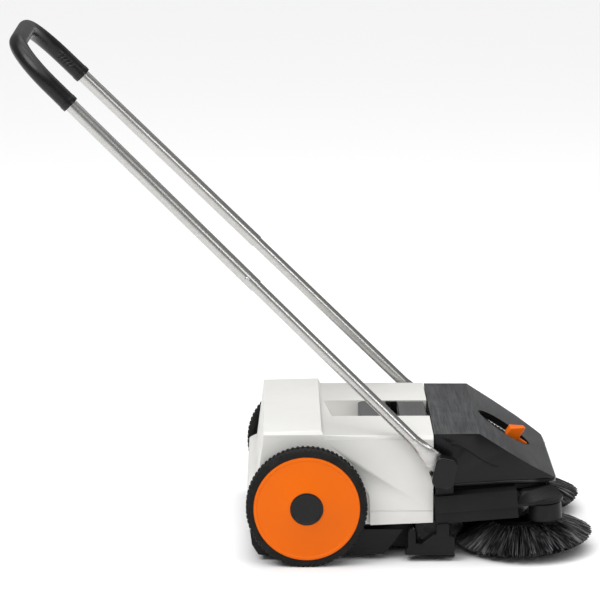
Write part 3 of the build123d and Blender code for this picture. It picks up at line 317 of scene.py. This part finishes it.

# %% [markdown]
# ## Bristles
# Each bristle is a stiff plastic fibre, black but shiny. The silver of fibres that catch the light
# is painted into their colour as painted highlights, in streaks that should run outwards from the
# middle of each brush. The noise is therefore read at an angle and a reach, worked out from the
# Object coordinates. The two brushes mirror each other, so the side's sign is dropped and one sum
# serves both.

# %% Bristle fibre
fibre = Finish("bristle_fibre")
spot = fibre.place()
along = fibre.node("ShaderNodeSeparateXYZ", {}, {"Vector": spot}, "X")
aside = fibre.node("ShaderNodeSeparateXYZ", {}, {"Vector": spot}, "Y")
east = along - brush_centre["left"].x
north = fibre.math("ABSOLUTE", aside) - brush_centre["left"].y
angle = fibre.math("ARCTAN2", north, east)
reach = fibre.math("SQRT", east * east + north * north)
fan = fibre.node("ShaderNodeCombineXYZ", {}, {"X": angle * 85.0, "Y": reach * 10.0})
# Painted highlight: where the noise is high, the fibre's colour turns silver, as a fibre catching
# the light would look.
grain_and_glint = fibre.ramp(fibre.noise(1.0, 3.0, 0.75, fan), (0.50, 0.0), (0.70, 1.0))
fibre.set(
    Base_Color=fibre.mix(grain_and_glint, shade(0.002, 0.002, 0.003), shade(0.34, 0.34, 0.345)),
    Roughness=0.28 + grain_and_glint * 0.15,
    Specular_IOR_Level=0.3,
)
bristle_fibre = fibre.material
print("fibre", bristle_fibre.name)

# %% [markdown]
# ## Materials on the parts that keep their shape
# Parts whose engineering shape is already right only need a finish. The list below pairs
# each finish with the beginnings of the names of its parts.

# %% Dress the kept parts
finish_of = {
    "chassis": black_plastic,
    "drive_cover": black_plastic,
    "bin_cradle": black_plastic,
    "pivot_bracket": black_plastic,
    "bin_tray": black_plastic,
    "bin_lugs": black_plastic,
    "caster_fork": black_plastic,
    "belt_guides": black_plastic,
    "wheel_hub": black_plastic,
    "brush_plate": black_plastic,
    "hub_cap": gloss_black,
    "pivot_cap": gloss_black,
    "hood": gloss_black,
    # The knob's dish gets the painted shade finish.
    "adjuster_dish": recess_shade_black,
    "carry_grip": grey_plastic,
    "bin_latch": grey_plastic,
    "wheel_disc": orange_plastic,
    "height_knob": orange_plastic,
    "bin_shell": shell_white,
    "tyre": tyre_rubber,
    "guide_roller": roller_rubber,
    "caster_roller": roller_rubber,
    "dirt_ramp": roller_rubber,
    "handle_grip": grip_rubber,
    "handle_tube": tube_metal,
    "axle_shaft": zinc_steel,
    "brush_shaft": zinc_steel,
    "guide_roller_pins": zinc_steel,
    "pivot_studs": zinc_steel,
    "caster_pin": zinc_steel,
    "cover_screws": zinc_steel,
    "snap_button": zinc_steel,
    "crown_gear": gear_nylon,
    "drive_pinion": gear_nylon,
    "brush_pulley": gear_nylon,
    "drive_belt": belt_rubber,
    "axle_bushes": bush_brass,
    "brush_bushes": bush_brass,
    "brush_bristles": bristle_fibre,
}


def finish_for(node):
    """The finish whose key is the longest beginning of the part's name."""
    keys = [key for key in finish_of if node.startswith(key)]
    return finish_of[max(keys, key=len)]


for name, part in nodes.items():
    part.data.materials.clear()
    part.data.materials.append(finish_for(name))
print("dressed", len(nodes))

# %% [markdown]
# ## Finishing a new piece
# Every new piece goes through the same last steps: its doubles are merged, its faces are turned
# outwards, smooth shading is set with sharp edges kept, it is tied to the body it moves with, and
# the parts it stands for are hidden. Two helpers make the bmeshes themselves: one joins several into
# one, and one turns a section about an axis.

# %% From a bmesh to a piece
merge_distance = 0.00001
sharp_corner = radians(32)


def finished(name, mesh_work, materials, body, replaced=(), outward=True):
    """Turns a bmesh into a named piece; a copy of a part already faces outwards."""
    bmesh.ops.remove_doubles(mesh_work, verts=mesh_work.verts, dist=merge_distance)
    if outward:
        bmesh.ops.recalc_face_normals(mesh_work, faces=mesh_work.faces)
    data = bpy.data.meshes.new(name)
    mesh_work.to_mesh(data)
    mesh_work.free()
    for material in materials:
        data.materials.append(material)
    data.shade_smooth()
    data.set_sharp_from_angle(angle=sharp_corner)
    piece = bpy.data.objects.new(name, data)
    bpy.context.scene.collection.objects.link(piece)
    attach(piece, body)
    if replaced:
        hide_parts(*replaced)
    print(name, "faces", len(data.polygons))


def joined(parts):
    """Several bmeshes as one."""
    whole = bmesh.new()
    for part in parts:
        data = bpy.data.meshes.new("part")
        part.to_mesh(data)
        part.free()
        whole.from_mesh(data)
        bpy.data.meshes.remove(data)
    return whole


def spun(profile, centre, axis, start, steps, angle=2 * pi):
    """A section of (radius, height) points turned about an axis; start points along radius."""
    work = bmesh.new()
    ring = [work.verts.new(centre + start * radius + axis * height) for radius, height in profile]
    edges = [work.edges.new(pair) for pair in zip(ring, ring[1:] + ring[:1])]
    bmesh.ops.spin(
        work,
        geom=ring + edges,
        cent=centre,
        axis=axis,
        angle=angle,
        steps=steps,
        use_merge=angle == 2 * pi,
    )
    return work


# %% [markdown]
# ## Tyres
# The tyre is a solid rubber ring with a row of small blocks along each shoulder. The
# ring is turned from its section. Then every second stretch of the two shoulder bands is
# pushed outwards, one band half a step ahead of the other.

# %% Tyres with tread
tread_blocks = 74
block_height = 0.0019
tyre_bore = wheel_radius - 0.0142
for side, sign in sides.items():
    centre = wheel_centre[side].copy()
    centre.y = 0
    low, high = tyre_inner_y, tyre_outer_y
    base = wheel_radius - block_height
    profile = [
        (tyre_bore, low + 0.001),
        (tyre_bore + 0.004, low),
        (base - 0.006, low),
        (base - 0.0015, low + 0.002),
        (base, low + 0.005),
        (base, low + 0.015),
        (base - 0.001, low + 0.0165),
        (base - 0.001, high - 0.0165),
        (base, high - 0.015),
        (base, high - 0.005),
        (base - 0.0015, high - 0.002),
        (base - 0.006, high),
        (tyre_bore + 0.004, high),
        (tyre_bore, high - 0.001),
    ]
    profile = [(radius, sign * height) for radius, height in profile]
    work = spun(profile, centre, across, Vector((0, 0, -1)), 2 * tread_blocks)
    bmesh.ops.remove_doubles(work, verts=work.verts, dist=merge_distance)
    blocks = []
    for face in work.faces:
        middle = face.calc_center_median()
        reach = hypot(middle.x - centre.x, middle.z - centre.z)
        width_place = abs(middle.y)
        on_inner = low + 0.001 < width_place < low + 0.0155
        on_outer = high - 0.0155 < width_place < high - 0.001
        if reach > base - 0.004 and (on_inner or on_outer):
            turn = atan2(middle.z - centre.z, middle.x - centre.x) + 2 * pi
            step = int(turn * tread_blocks / pi)
            if (step + int(on_inner)) % 2:
                blocks.append(face)
    lifted = bmesh.ops.extrude_face_region(work, geom=blocks)
    bmesh.ops.delete(work, geom=blocks, context="FACES")
    top = [v for v in lifted["geom"] if isinstance(v, bmesh.types.BMVert)]
    grow = (wheel_radius - 0.0001) / base
    to_centre = Matrix.Translation(centre)
    around = to_centre @ Matrix.Diagonal((grow, 1, grow, 1)) @ to_centre.inverted()
    bmesh.ops.transform(work, matrix=around, verts=top)
    wheel = f"wheel_{side}"
    finished(f"tyre_tread_{side}", work, [tyre_rubber], wheel, [f"tyre_{side}"])

# %% [markdown]
# ## Wheel covers
# The wheel's side is one big orange disc with a rolled edge, held by a black cap in the
# middle. Both are plain turned shapes, so a short section with soft corners is enough.

# %% Orange discs and hub caps
disc_low, disc_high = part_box("wheel_disc_left")
cap_low, cap_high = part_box("hub_cap_left")
disc_radius = (disc_high.x - disc_low.x) / 2
cap_radius = (cap_high.x - cap_low.x) / 2
face_y = disc_high.y
for side, sign in sides.items():
    wheel = f"wheel_{side}"
    centre = wheel_centre[side].copy()
    centre.y = 0
    disc = [
        (0.0, disc_low.y),
        (disc_radius, disc_low.y),
        (disc_radius, face_y - 0.0018),
        (disc_radius - 0.0008, face_y - 0.0004),
        (disc_radius - 0.0022, face_y),
        (disc_radius - 0.0060, face_y),
        (disc_radius - 0.0072, face_y - 0.0009),
        (cap_radius + 0.0040, face_y - 0.0009),
        (cap_radius + 0.0028, face_y - 0.0002),
        (cap_radius - 0.0020, face_y - 0.0002),
        (0.0, face_y - 0.0002),
    ]
    work = spun([(r, sign * y) for r, y in disc], centre, across, Vector((0, 0, -1)), 128)
    covers = [f"wheel_disc_{side}"]
    finished(f"wheel_face_{side}", work, [orange_plastic], wheel, covers)
    cap = [
        (0.0, cap_low.y),
        (cap_radius, cap_low.y),
        (cap_radius, cap_high.y - 0.0011),
        (cap_radius - 0.0006, cap_high.y - 0.0003),
        (cap_radius - 0.0018, cap_high.y),
        (cap_radius - 0.0040, cap_high.y),
        (cap_radius - 0.0048, cap_high.y - 0.0005),
        (0.0, cap_high.y - 0.0005),
    ]
    work = spun([(r, sign * y) for r, y in cap], centre, across, Vector((0, 0, -1)), 96)
    covers = [f"hub_cap_{side}"]
    finished(f"wheel_cap_{side}", work, [gloss_black], wheel, covers)

# %% [markdown]
# ## Soft edges on moulded covers
# A moulded cover never has a knife edge. The engineering part is copied, its triangles
# are merged back into flat faces, and the chosen edges get a small round. The round only
# takes material away, so the piece stays inside the space of the part it stands for.

# %% Softening a copy of a part


def copied(node):
    work = bmesh.new()
    work.from_mesh(nodes[node].data)
    bmesh.ops.remove_doubles(work, verts=work.verts, dist=merge_distance)
    bmesh.ops.dissolve_limit(
        work,
        angle_limit=radians(0.6),
        verts=work.verts,
        edges=work.edges,
        use_dissolve_boundaries=False,
    )
    return work


def cut_across(work, spot, normal):
    """A row of new edges where a plane crosses the piece."""
    everything = work.verts[:] + work.edges[:] + work.faces[:]
    bmesh.ops.bisect_plane(work, geom=everything, plane_co=spot, plane_no=normal)


least_corner = radians(24)


def soften(work, width, picks, segments=3):
    """Rounds the outward edges that picks chooses by their two ends."""
    edges = []
    for edge in work.edges:
        if len(edge.link_faces) != 2 or not edge.is_convex:
            continue
        if edge.calc_face_angle(0) < least_corner:
            continue
        if picks(edge.verts[0].co, edge.verts[1].co):
            edges.append(edge)
    if edges:
        bmesh.ops.bevel(
            work,
            geom=edges,
            offset=width,
            offset_type="OFFSET",
            segments=segments,
            profile=0.5,
            affect="EDGES",
            material=-1,
            clamp_overlap=True,
        )
    return len(edges)


def all_edges(first, second):
    return True


# %% [markdown]
# ## Container
# The container is a warm white box with a raised rear. The edges round its top have a
# generous round. A fine groove, cut between two planes and pushed in, runs along the
# lower part of both sides.

# %% Container shell
shell_low, shell_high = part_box("bin_shell")
container_round = 0.0085
top_depth, rim_inner_y, rear_depth = 0.050, 0.195, 0.050


def outer_top(first, second):
    """Edges near the top, at the sides or at the rear, so outside the recess."""
    both = (first, second)
    at_top = all(spot.z > shell_high.z - top_depth for spot in both)
    at_rim = all(abs(spot.y) > rim_inner_y or spot.x < shell_low.x + rear_depth for spot in both)
    return at_top and at_rim


work = copied("bin_shell")
rounded = soften(work, container_round, outer_top, 4)
groove_low, groove_high, groove_depth = 0.0985, 0.0999, 0.0009
for level in (groove_low, groove_high):
    cut_across(work, (0, 0, level), (0, 0, 1))
groove = []
for face in work.faces:
    face.normal_update()
    middle = face.calc_center_median()
    in_band = groove_low < middle.z < groove_high
    if in_band and abs(face.normal.y) > 0.9 and abs(middle.y) > shell_high.y - 0.004:
        groove.append(face)
pushed = bmesh.ops.extrude_face_region(work, geom=groove)
bmesh.ops.delete(work, geom=groove, context="FACES")
for vert in pushed["geom"]:
    if isinstance(vert, bmesh.types.BMVert):
        vert.co.y -= groove_depth * (1 if vert.co.y > 0 else -1)
print("groove faces", len(groove))
print("container edges rounded", rounded)
finished(
    "container_shell", work, [shell_white], "bin", ["bin_shell"], outward=False
)

# %% [markdown]
# ## Hood
# The hood is one moulding in two finishes: its top and slope are brushed grey, and its
# sides and rim are glossy black. The faces that look up get the second material.

# %% Hood
hood_low, hood_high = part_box("hood")
work = copied("hood")


def hood_outer(first, second):
    """Edges round the flat top, and those on the sides above the rim."""
    both = (first, second)
    on_top = all(spot.z > hood_high.z - 0.004 for spot in both)
    on_side = all(abs(spot.y) > 0.150 and spot.z > 0.150 for spot in both)
    return on_top or on_side


rounded = soften(work, 0.003, hood_outer)
for face in work.faces:
    face.normal_update()
    above_rim = face.calc_center_median().z > 0.145
    face.material_index = int(face.normal.z > 0.55 and above_rim)
print("hood edges rounded", rounded)
hood_finishes = [gloss_black, hood_brushed]
finished("hood_cover", work, hood_finishes, "frame", ["hood"], outward=False)

# %% [markdown]
# ## Smaller mouldings
# The knob, the carry grip, the latch, the front frame, the cradles and the brackets are copied and
# softened in one loop. Each line gives the part, the new piece's name, the width of the round and
# the body it rides on. The carry grip's front gets the near-black recess finish: painted shade,
# because it is also the wall of the finger hole.

# %% Smaller mouldings
small_mouldings = [
    ("height_knob", "knob_cap", 0.0016, "knob", orange_plastic, "orange_plastic"),
    ("carry_grip", "grip_bar", 0.0035, "bin", grey_plastic, "grey_plastic"),
    ("bin_latch", "latch_plate", 0.0016, "latch", grey_plastic, "grey_plastic"),
    ("chassis", "front_frame", 0.0022, "frame", black_plastic, "black_plastic"),
    ("bin_cradle_left", "cradle_left", 0.0012, "frame", black_plastic, "black_plastic"),
    ("bin_cradle_right", "cradle_right", 0.0012, "frame", black_plastic, "black_plastic"),
    ("pivot_bracket_left", "bracket_left", 0.0015, "frame", black_plastic, "black_plastic"),
    ("pivot_bracket_right", "bracket_right", 0.0015, "frame", black_plastic, "black_plastic"),
]
grip_low, grip_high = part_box("carry_grip")
shaded_front_start = grip_high.x - 0.013


def outside_edges(first, second):
    """Edges on the outer faces of the front frame, clear of its thin inner walls."""
    return min(abs(first.y), abs(second.y)) > 0.1945 and min(first.x, second.x) > 0.24


for node, label, width, body, material, slot in small_mouldings:
    work = copied(node)
    rounded = soften(work, width, outside_edges if node == "chassis" else all_edges)
    print(label, "edges rounded", rounded)
    if node == "carry_grip":
        # Painted shade: the grip's front, the wall of the finger hole, takes the near-black recess
        # finish.
        cut_across(work, (shaded_front_start, 0, 0), (1, 0, 0))
        for face in work.faces:
            face.material_index = int(face.calc_center_median().x > shaded_front_start)
    finished(label, work, [material, recess_shade_black], body, [node], outward=False)

# %% [markdown]
# ## Small details on the covers
# The finger hole behind the carry grip is a well in the near-black recess finish, painted shade for
# the hole. The height adjuster has a fine white scale beside the knob, and the hood ends in a
# rounded rim along its lower edge. The rim, and the falling line on each side of the hood, are beads
# along a smooth curve.

# %% Small blocks


def block(low, high, edge=0.0):
    """A box between two corners, with an even round on its edges if edge is given."""
    work = bmesh.new()
    low, high = Vector(low), Vector(high)
    size = high - low
    place = Matrix.Translation((low + high) / 2) @ Matrix.Diagonal((*size, 1))
    bmesh.ops.create_cube(work, size=1.0, matrix=place)
    if edge:
        bmesh.ops.bevel(
            work,
            geom=work.edges[:],
            offset=edge,
            offset_type="OFFSET",
            segments=2,
            profile=0.5,
            affect="EDGES",
            material=-1,
        )
    return work


# %% Finger hole
latch_low, latch_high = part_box("bin_latch")
lining = 0.0003
well_floor = grip_low.z + lining
well_half, well_wall = 0.0560, 0.0025
floor_start = (grip_high.x - 0.019, -well_half - 0.0005, well_floor)
floor_end = (latch_low.x + 0.006, well_half + 0.0005, well_floor + 0.0012)
well = [block(floor_start, floor_end, lining)]
for sign in sides.values():
    near, far = sorted((sign * well_half, sign * (well_half + well_wall)))
    wall_start = (grip_high.x - 0.002, near, well_floor)
    wall_end = (latch_low.x - 0.0005, far, grip_high.z - 0.001)
    well.append(block(wall_start, wall_end, lining))
# Painted shade: the well's floor and walls take the near-black recess finish.
finished("finger_well", joined(well), [recess_shade_black], "bin")

# %% Ribs on the latch plate
latch_rib_count, latch_rib_step, latch_rib_width = 9, 0.0042, 0.0016
ribs = []
for step in range(latch_rib_count):
    x = latch_low.x + 0.012 + step * latch_rib_step
    rib_start = (x, -0.046, latch_high.z - 0.0002)
    rib_end = (x + latch_rib_width, 0.046, latch_high.z + 0.0007)
    ribs.append(block(rib_start, rib_end, 0.0003))
finished("latch_ribs", joined(ribs), [grey_plastic], "latch")

# %% Rim round the hood


def bead(points, radius):
    """A round bead along a smooth line through the points."""
    path = bpy.data.curves.new("bead", "CURVE")
    path.dimensions = "3D"
    path.bevel_depth = radius
    path.bevel_resolution = 3
    path.resolution_u = 6
    path.use_fill_caps = True
    spline = path.splines.new("NURBS")
    spline.points.add(len(points) - 1)
    for point, spot in zip(spline.points, points):
        point.co = (*spot, 1.0)
    spline.order_u = 3
    spline.use_endpoint_u = True
    holder = bpy.data.objects.new("bead", path)
    data = bpy.data.meshes.new_from_object(holder)
    work = bmesh.new()
    work.from_mesh(data)
    bpy.data.objects.remove(holder)
    bpy.data.curves.remove(path)
    bpy.data.meshes.remove(data)
    return work


rim_half = [
    (hood_low.x + 0.004, 0.2025, 0.1420),
    (hood_low.x + 0.080, 0.2025, 0.1465),
    (hood_low.x + 0.142, 0.2015, 0.1505),
    (hood_low.x + 0.190, 0.1950, 0.1497),
    (hood_low.x + 0.216, 0.1845, 0.1475),
    (hood_low.x + 0.232, 0.1705, 0.1455),
    (hood_high.x - 0.0020, 0.1550, 0.1447),
    (hood_high.x - 0.0015, 0.1200, 0.1446),
]
rim_line = rim_half + [(x, -y, z) for x, y, z in reversed(rim_half)]
finished("hood_rim", bead(rim_line, 0.0042), [gloss_black], "frame")

# %% Line on the hood's sides
side_line_start = (hood_low.x + 0.034, hood_high.z - 0.021)
side_line_length, side_line_drop, side_line_points = 0.091, 0.045, 7
side_line = []
for step in range(side_line_points):
    share = step / (side_line_points - 1)
    fall = share**2 * (3 - 2 * share)
    x = side_line_start[0] + side_line_length * share
    side_line.append((x, side_line_start[1] - side_line_drop * fall))
hood_side_y = hood_high.y - 0.0008
lines = [bead([(x, sign * hood_side_y, z) for x, z in side_line], 0.0013) for sign in sides.values()]
finished("hood_side_line", joined(lines), [gloss_black], "frame")

# %% Scale beside the knob
slope_length, slope_drop = 0.153, 0.099
slope_top = Vector((hood_high.x - slope_length, 0, hood_high.z))
slope_turn = atan2(slope_drop, slope_length)
slope_down = Vector((cos(slope_turn), 0, -sin(slope_turn)))
slope_up = Vector((sin(slope_turn), 0, cos(slope_turn)))
onto_slope = Matrix((slope_down, across, slope_up)).transposed().to_4x4()
dish_floor, ink_height = -0.0099, 0.0005
mark_count, mark_step, mark_width = 6, 0.008, 0.0015
ink_top = dish_floor + ink_height
ink = [block((0.046, 0.0290, dish_floor), (0.100, 0.0300, ink_top))]
for step in range(mark_count):
    x = 0.052 + step * mark_step
    ink.append(block((x, 0.0215, dish_floor), (x + mark_width, 0.0275, ink_top)))
marks = joined(ink)
bmesh.ops.transform(marks, matrix=Matrix.Translation(slope_top) @ onto_slope, verts=marks.verts)
finished("height_scale", marks, [white_ink], "frame")

# %% [markdown]
# ## Disc brushes
# A disc brush carries tufts in three rings. A single bristle is a thin three-sided fibre
# that leaves the plate almost level and bends down to its tip: a small triangle, spun
# through a few degrees, makes it. Six tufts are made this way, and copies of them are set
# round the plate, because thousands of separate calls would be slow. The ends of a fibre
# stay open: they are too small to see into.

# %% Bristle tufts
ring_reaches = (0.044, 0.051, 0.058)
bristle_radius = 0.0009
plate_level = -0.0925
full_reach = 0.1350
lower_tip, upper_tip = -0.1385, -0.1240
tufts_per_ring = 46
bristles_per_tuft = 15
draw = random.Random(11)


def bristle(work, start, end, aside, bend):
    """One fibre in the plane of reach and level, leaning aside to its tip."""
    flat = Vector((end[0] - start[0], 0, end[1] - start[1]))
    chord = flat.length
    slope = atan2(flat.z, flat.x) + bend
    heading = Vector((cos(slope), 0, sin(slope)))
    root = Vector((start[0], 0, start[1]))
    fork = chord / (2 * sin(bend))
    hub = root + Vector((heading.z, 0, -heading.x)) * fork
    turn = heading.to_track_quat("Z", "Y").to_matrix().to_4x4()
    made = bmesh.ops.create_circle(
        work, segments=3, radius=bristle_radius, matrix=Matrix.Translation(root) @ turn
    )
    ring = made["verts"]
    edges = list({edge for vert in ring for edge in vert.link_edges})
    before = set(work.verts)
    bmesh.ops.spin(work, geom=ring + edges, cent=hub, axis=across, angle=2 * bend, steps=3)
    for vert in work.verts:
        if vert not in before:
            vert.co.y += aside * (vert.co.x - start[0]) / (end[0] - start[0])


def tuft(ring_reach, spread):
    work = bmesh.new()
    for _ in range(bristles_per_tuft):
        level = draw.random()
        reach = full_reach - 0.030 * (1 - level) ** 1.5 - 0.003 * draw.random()
        drop = lower_tip + (upper_tip - lower_tip) * level**2
        root_reach = ring_reach + draw.uniform(-0.002, 0.002)
        root_level = plate_level + draw.uniform(-0.001, 0.003)
        aside = draw.uniform(-spread, spread)
        bristle(work, (root_reach, root_level), (reach, drop), aside, draw.uniform(0.10, 0.24))
    data = bpy.data.meshes.new("tuft")
    work.to_mesh(data)
    work.free()
    return data


spread = pi * full_reach / tufts_per_ring * 1.25
tufts = [tuft(ring_reaches[i % 3], spread) for i in range(6)]
print("tuft faces", [len(data.polygons) for data in tufts])

# %% Set the tufts round both brushes
forward = across.cross(upright).normalized()
leaning = Matrix((forward, across, upright)).transposed().to_4x4()
for side in sides:
    seat = Matrix.Translation(brush_centre[side]) @ leaning
    work = bmesh.new()
    for ring in range(3):
        for place in range(tufts_per_ring):
            data = tufts[ring + 3 * (place % 2)]
            turn = Matrix.Rotation(2 * pi * (place + ring / 3) / tufts_per_ring, 4, "Z")
            count = len(work.verts)
            work.from_mesh(data)
            work.verts.ensure_lookup_table()
            bmesh.ops.transform(work, matrix=seat @ turn, verts=work.verts[count:])
    finished(
        f"bristles_{side}",
        work,
        [bristle_fibre],
        f"brush_{side}",
        [f"brush_bristles_{side}"],
        outward=False,
    )
for data in tufts:
    bpy.data.meshes.remove(data)

# %% [markdown]
# ## Handle grip details
# The looped grip is a smooth rubber tube. Its lower ends carry a plain collar, and the
# inner side of each leg has short slanting ribs for the fingers. Both are turned from a
# small section about the leg's own line.

# %% Where the handle's legs run
leg_length, leg_rise = 1.003, radians(44.8)
leg_foot_y, leg_end_y = 0.235, 0.195
leg_lean = (leg_end_y - leg_foot_y) / leg_length
leg_along = Vector((-cos(leg_rise), 0, sin(leg_rise)))
leg_side = Vector((sin(leg_rise), 0, cos(leg_rise)))
grip_radius = 0.017


def on_leg(along, sign):
    aside = Vector((0, sign * (leg_foot_y + leg_lean * along), 0))
    return handle_pivot + leg_along * along + aside


print("leg ends at", on_leg(leg_length, 1))

# %% Collars and finger ribs
collar_start, collar_length = leg_length + 0.0005, 0.012
collar = [
    (grip_radius - 0.001, 0.0),
    (grip_radius + 0.0003, 0.0008),
    (grip_radius + 0.0006, 0.003),
    (grip_radius + 0.0006, collar_length - 0.003),
    (grip_radius + 0.0003, collar_length - 0.0008),
    (grip_radius - 0.001, collar_length),
]
rib_start, rib_step, rib_count = 1.036, 0.0080, 8
rib_slant, rib_sweep = 0.7, radians(130)
rib_base = grip_radius + 0.0006
rib_section = [
    (rib_base - 0.001, -0.0016),
    (rib_base + 0.0006, -0.0011),
    (rib_base + 0.0012, 0.0),
    (rib_base + 0.0006, 0.0011),
    (rib_base - 0.001, 0.0016),
]
for side, sign in sides.items():
    run = (leg_along + Vector((0, sign * leg_lean, 0))).normalized()
    out = (leg_side - run * leg_side.dot(run)).normalized()
    work = spun(collar, on_leg(collar_start, sign), run, out, 48)
    finished(f"grip_collar_{side}", work, [grip_rubber], "handle")
    tilted = (run + out * rib_slant).normalized()
    inward = Vector((0, -sign, 0))
    inward = (inward - tilted * inward.dot(tilted)).normalized()
    first = Matrix.Rotation(-rib_sweep / 2, 3, tilted) @ inward
    ribs = []
    for rib in range(rib_count):
        place = on_leg(rib_start + rib * rib_step, sign)
        ribs.append(spun(rib_section, place, tilted, first, 14, rib_sweep))
    finished(f"finger_ribs_{side}", joined(ribs), [grip_rubber], "handle")

# %% [markdown]
# ## Floor, light and camera
# The machine stands on a plain pale floor that runs far behind it. A large soft light
# stands high at the rear on the camera's side, a weaker one at the front on that side, and
# a third hangs above the far side. A wide sun lights the floor evenly near and far, and
# the glossy black parts mirror that pale floor, so they stay readable.

# %% Floor
floor_work = bmesh.new()
bmesh.ops.create_grid(floor_work, x_segments=1, y_segments=1, size=12.0)
floor_mesh = bpy.data.meshes.new("floor")
floor_work.to_mesh(floor_mesh)
floor_work.free()
floor = bpy.data.objects.new("floor", floor_mesh)
bpy.context.scene.collection.objects.link(floor)
floor_finish = Finish("floor_paint")
floor_finish.set(Base_Color=grey(0.90), Roughness=0.6)
floor_mesh.materials.append(floor_finish.material)
print("floor", tuple(floor.dimensions))

# %% Lights


def aimed(thing, gaze):
    """Turns a light or the camera to look along a direction, and adds it."""
    thing.rotation_euler = gaze.to_track_quat("-Z", "Y").to_euler()
    bpy.context.scene.collection.objects.link(thing)


target = Vector((0.05, 0, 0.2))
lights = [
    ("key_light", (-1.8, -1.6, 3.4), 2.0, 50.0),
    ("fill_light", (2.8, -3.2, 2.2), 1.4, 24.0),
    ("top_light", (0.6, 1.6, 3.6), 3.2, 30.0),
]
for name, spot, size, power in lights:
    data = bpy.data.lights.new(name, "AREA")
    data.shape = "SQUARE"
    data.size = size
    data.energy = power
    lamp = bpy.data.objects.new(name, data)
    lamp.location = spot
    aimed(lamp, target - lamp.location)
sun_data = bpy.data.lights.new("even_light", "SUN")
sun_data.energy = 2.7
sun_data.angle = radians(80)
aimed(bpy.data.objects.new("even_light", sun_data), Vector((0.15, 0.25, -1)))
print("lights", len(bpy.data.lights))

# %% Surroundings and camera
world = bpy.data.worlds.new("studio")
world.use_nodes = True
background = world.node_tree.nodes["Background"]
background.inputs["Color"].default_value = (1, 1, 1, 1)
background.inputs["Strength"].default_value = 0.26
bpy.context.scene.world = world
bpy.context.scene.view_settings.view_transform = "Standard"
pitch, yaw = radians(12.49), radians(0.61)
camera_data = bpy.data.cameras.new("camera")
camera_data.lens = 182.7
camera_data.sensor_width = 36.0
camera_data.clip_end = 50.0
camera = bpy.data.objects.new("camera", camera_data)
camera.location = (wheel_centre["left"].x - 0.073, -5.905, 1.778)
aimed(camera, Vector((sin(yaw) * cos(pitch), cos(yaw) * cos(pitch), -sin(pitch))))
bpy.context.scene.camera = camera
print("camera", tuple(camera.location))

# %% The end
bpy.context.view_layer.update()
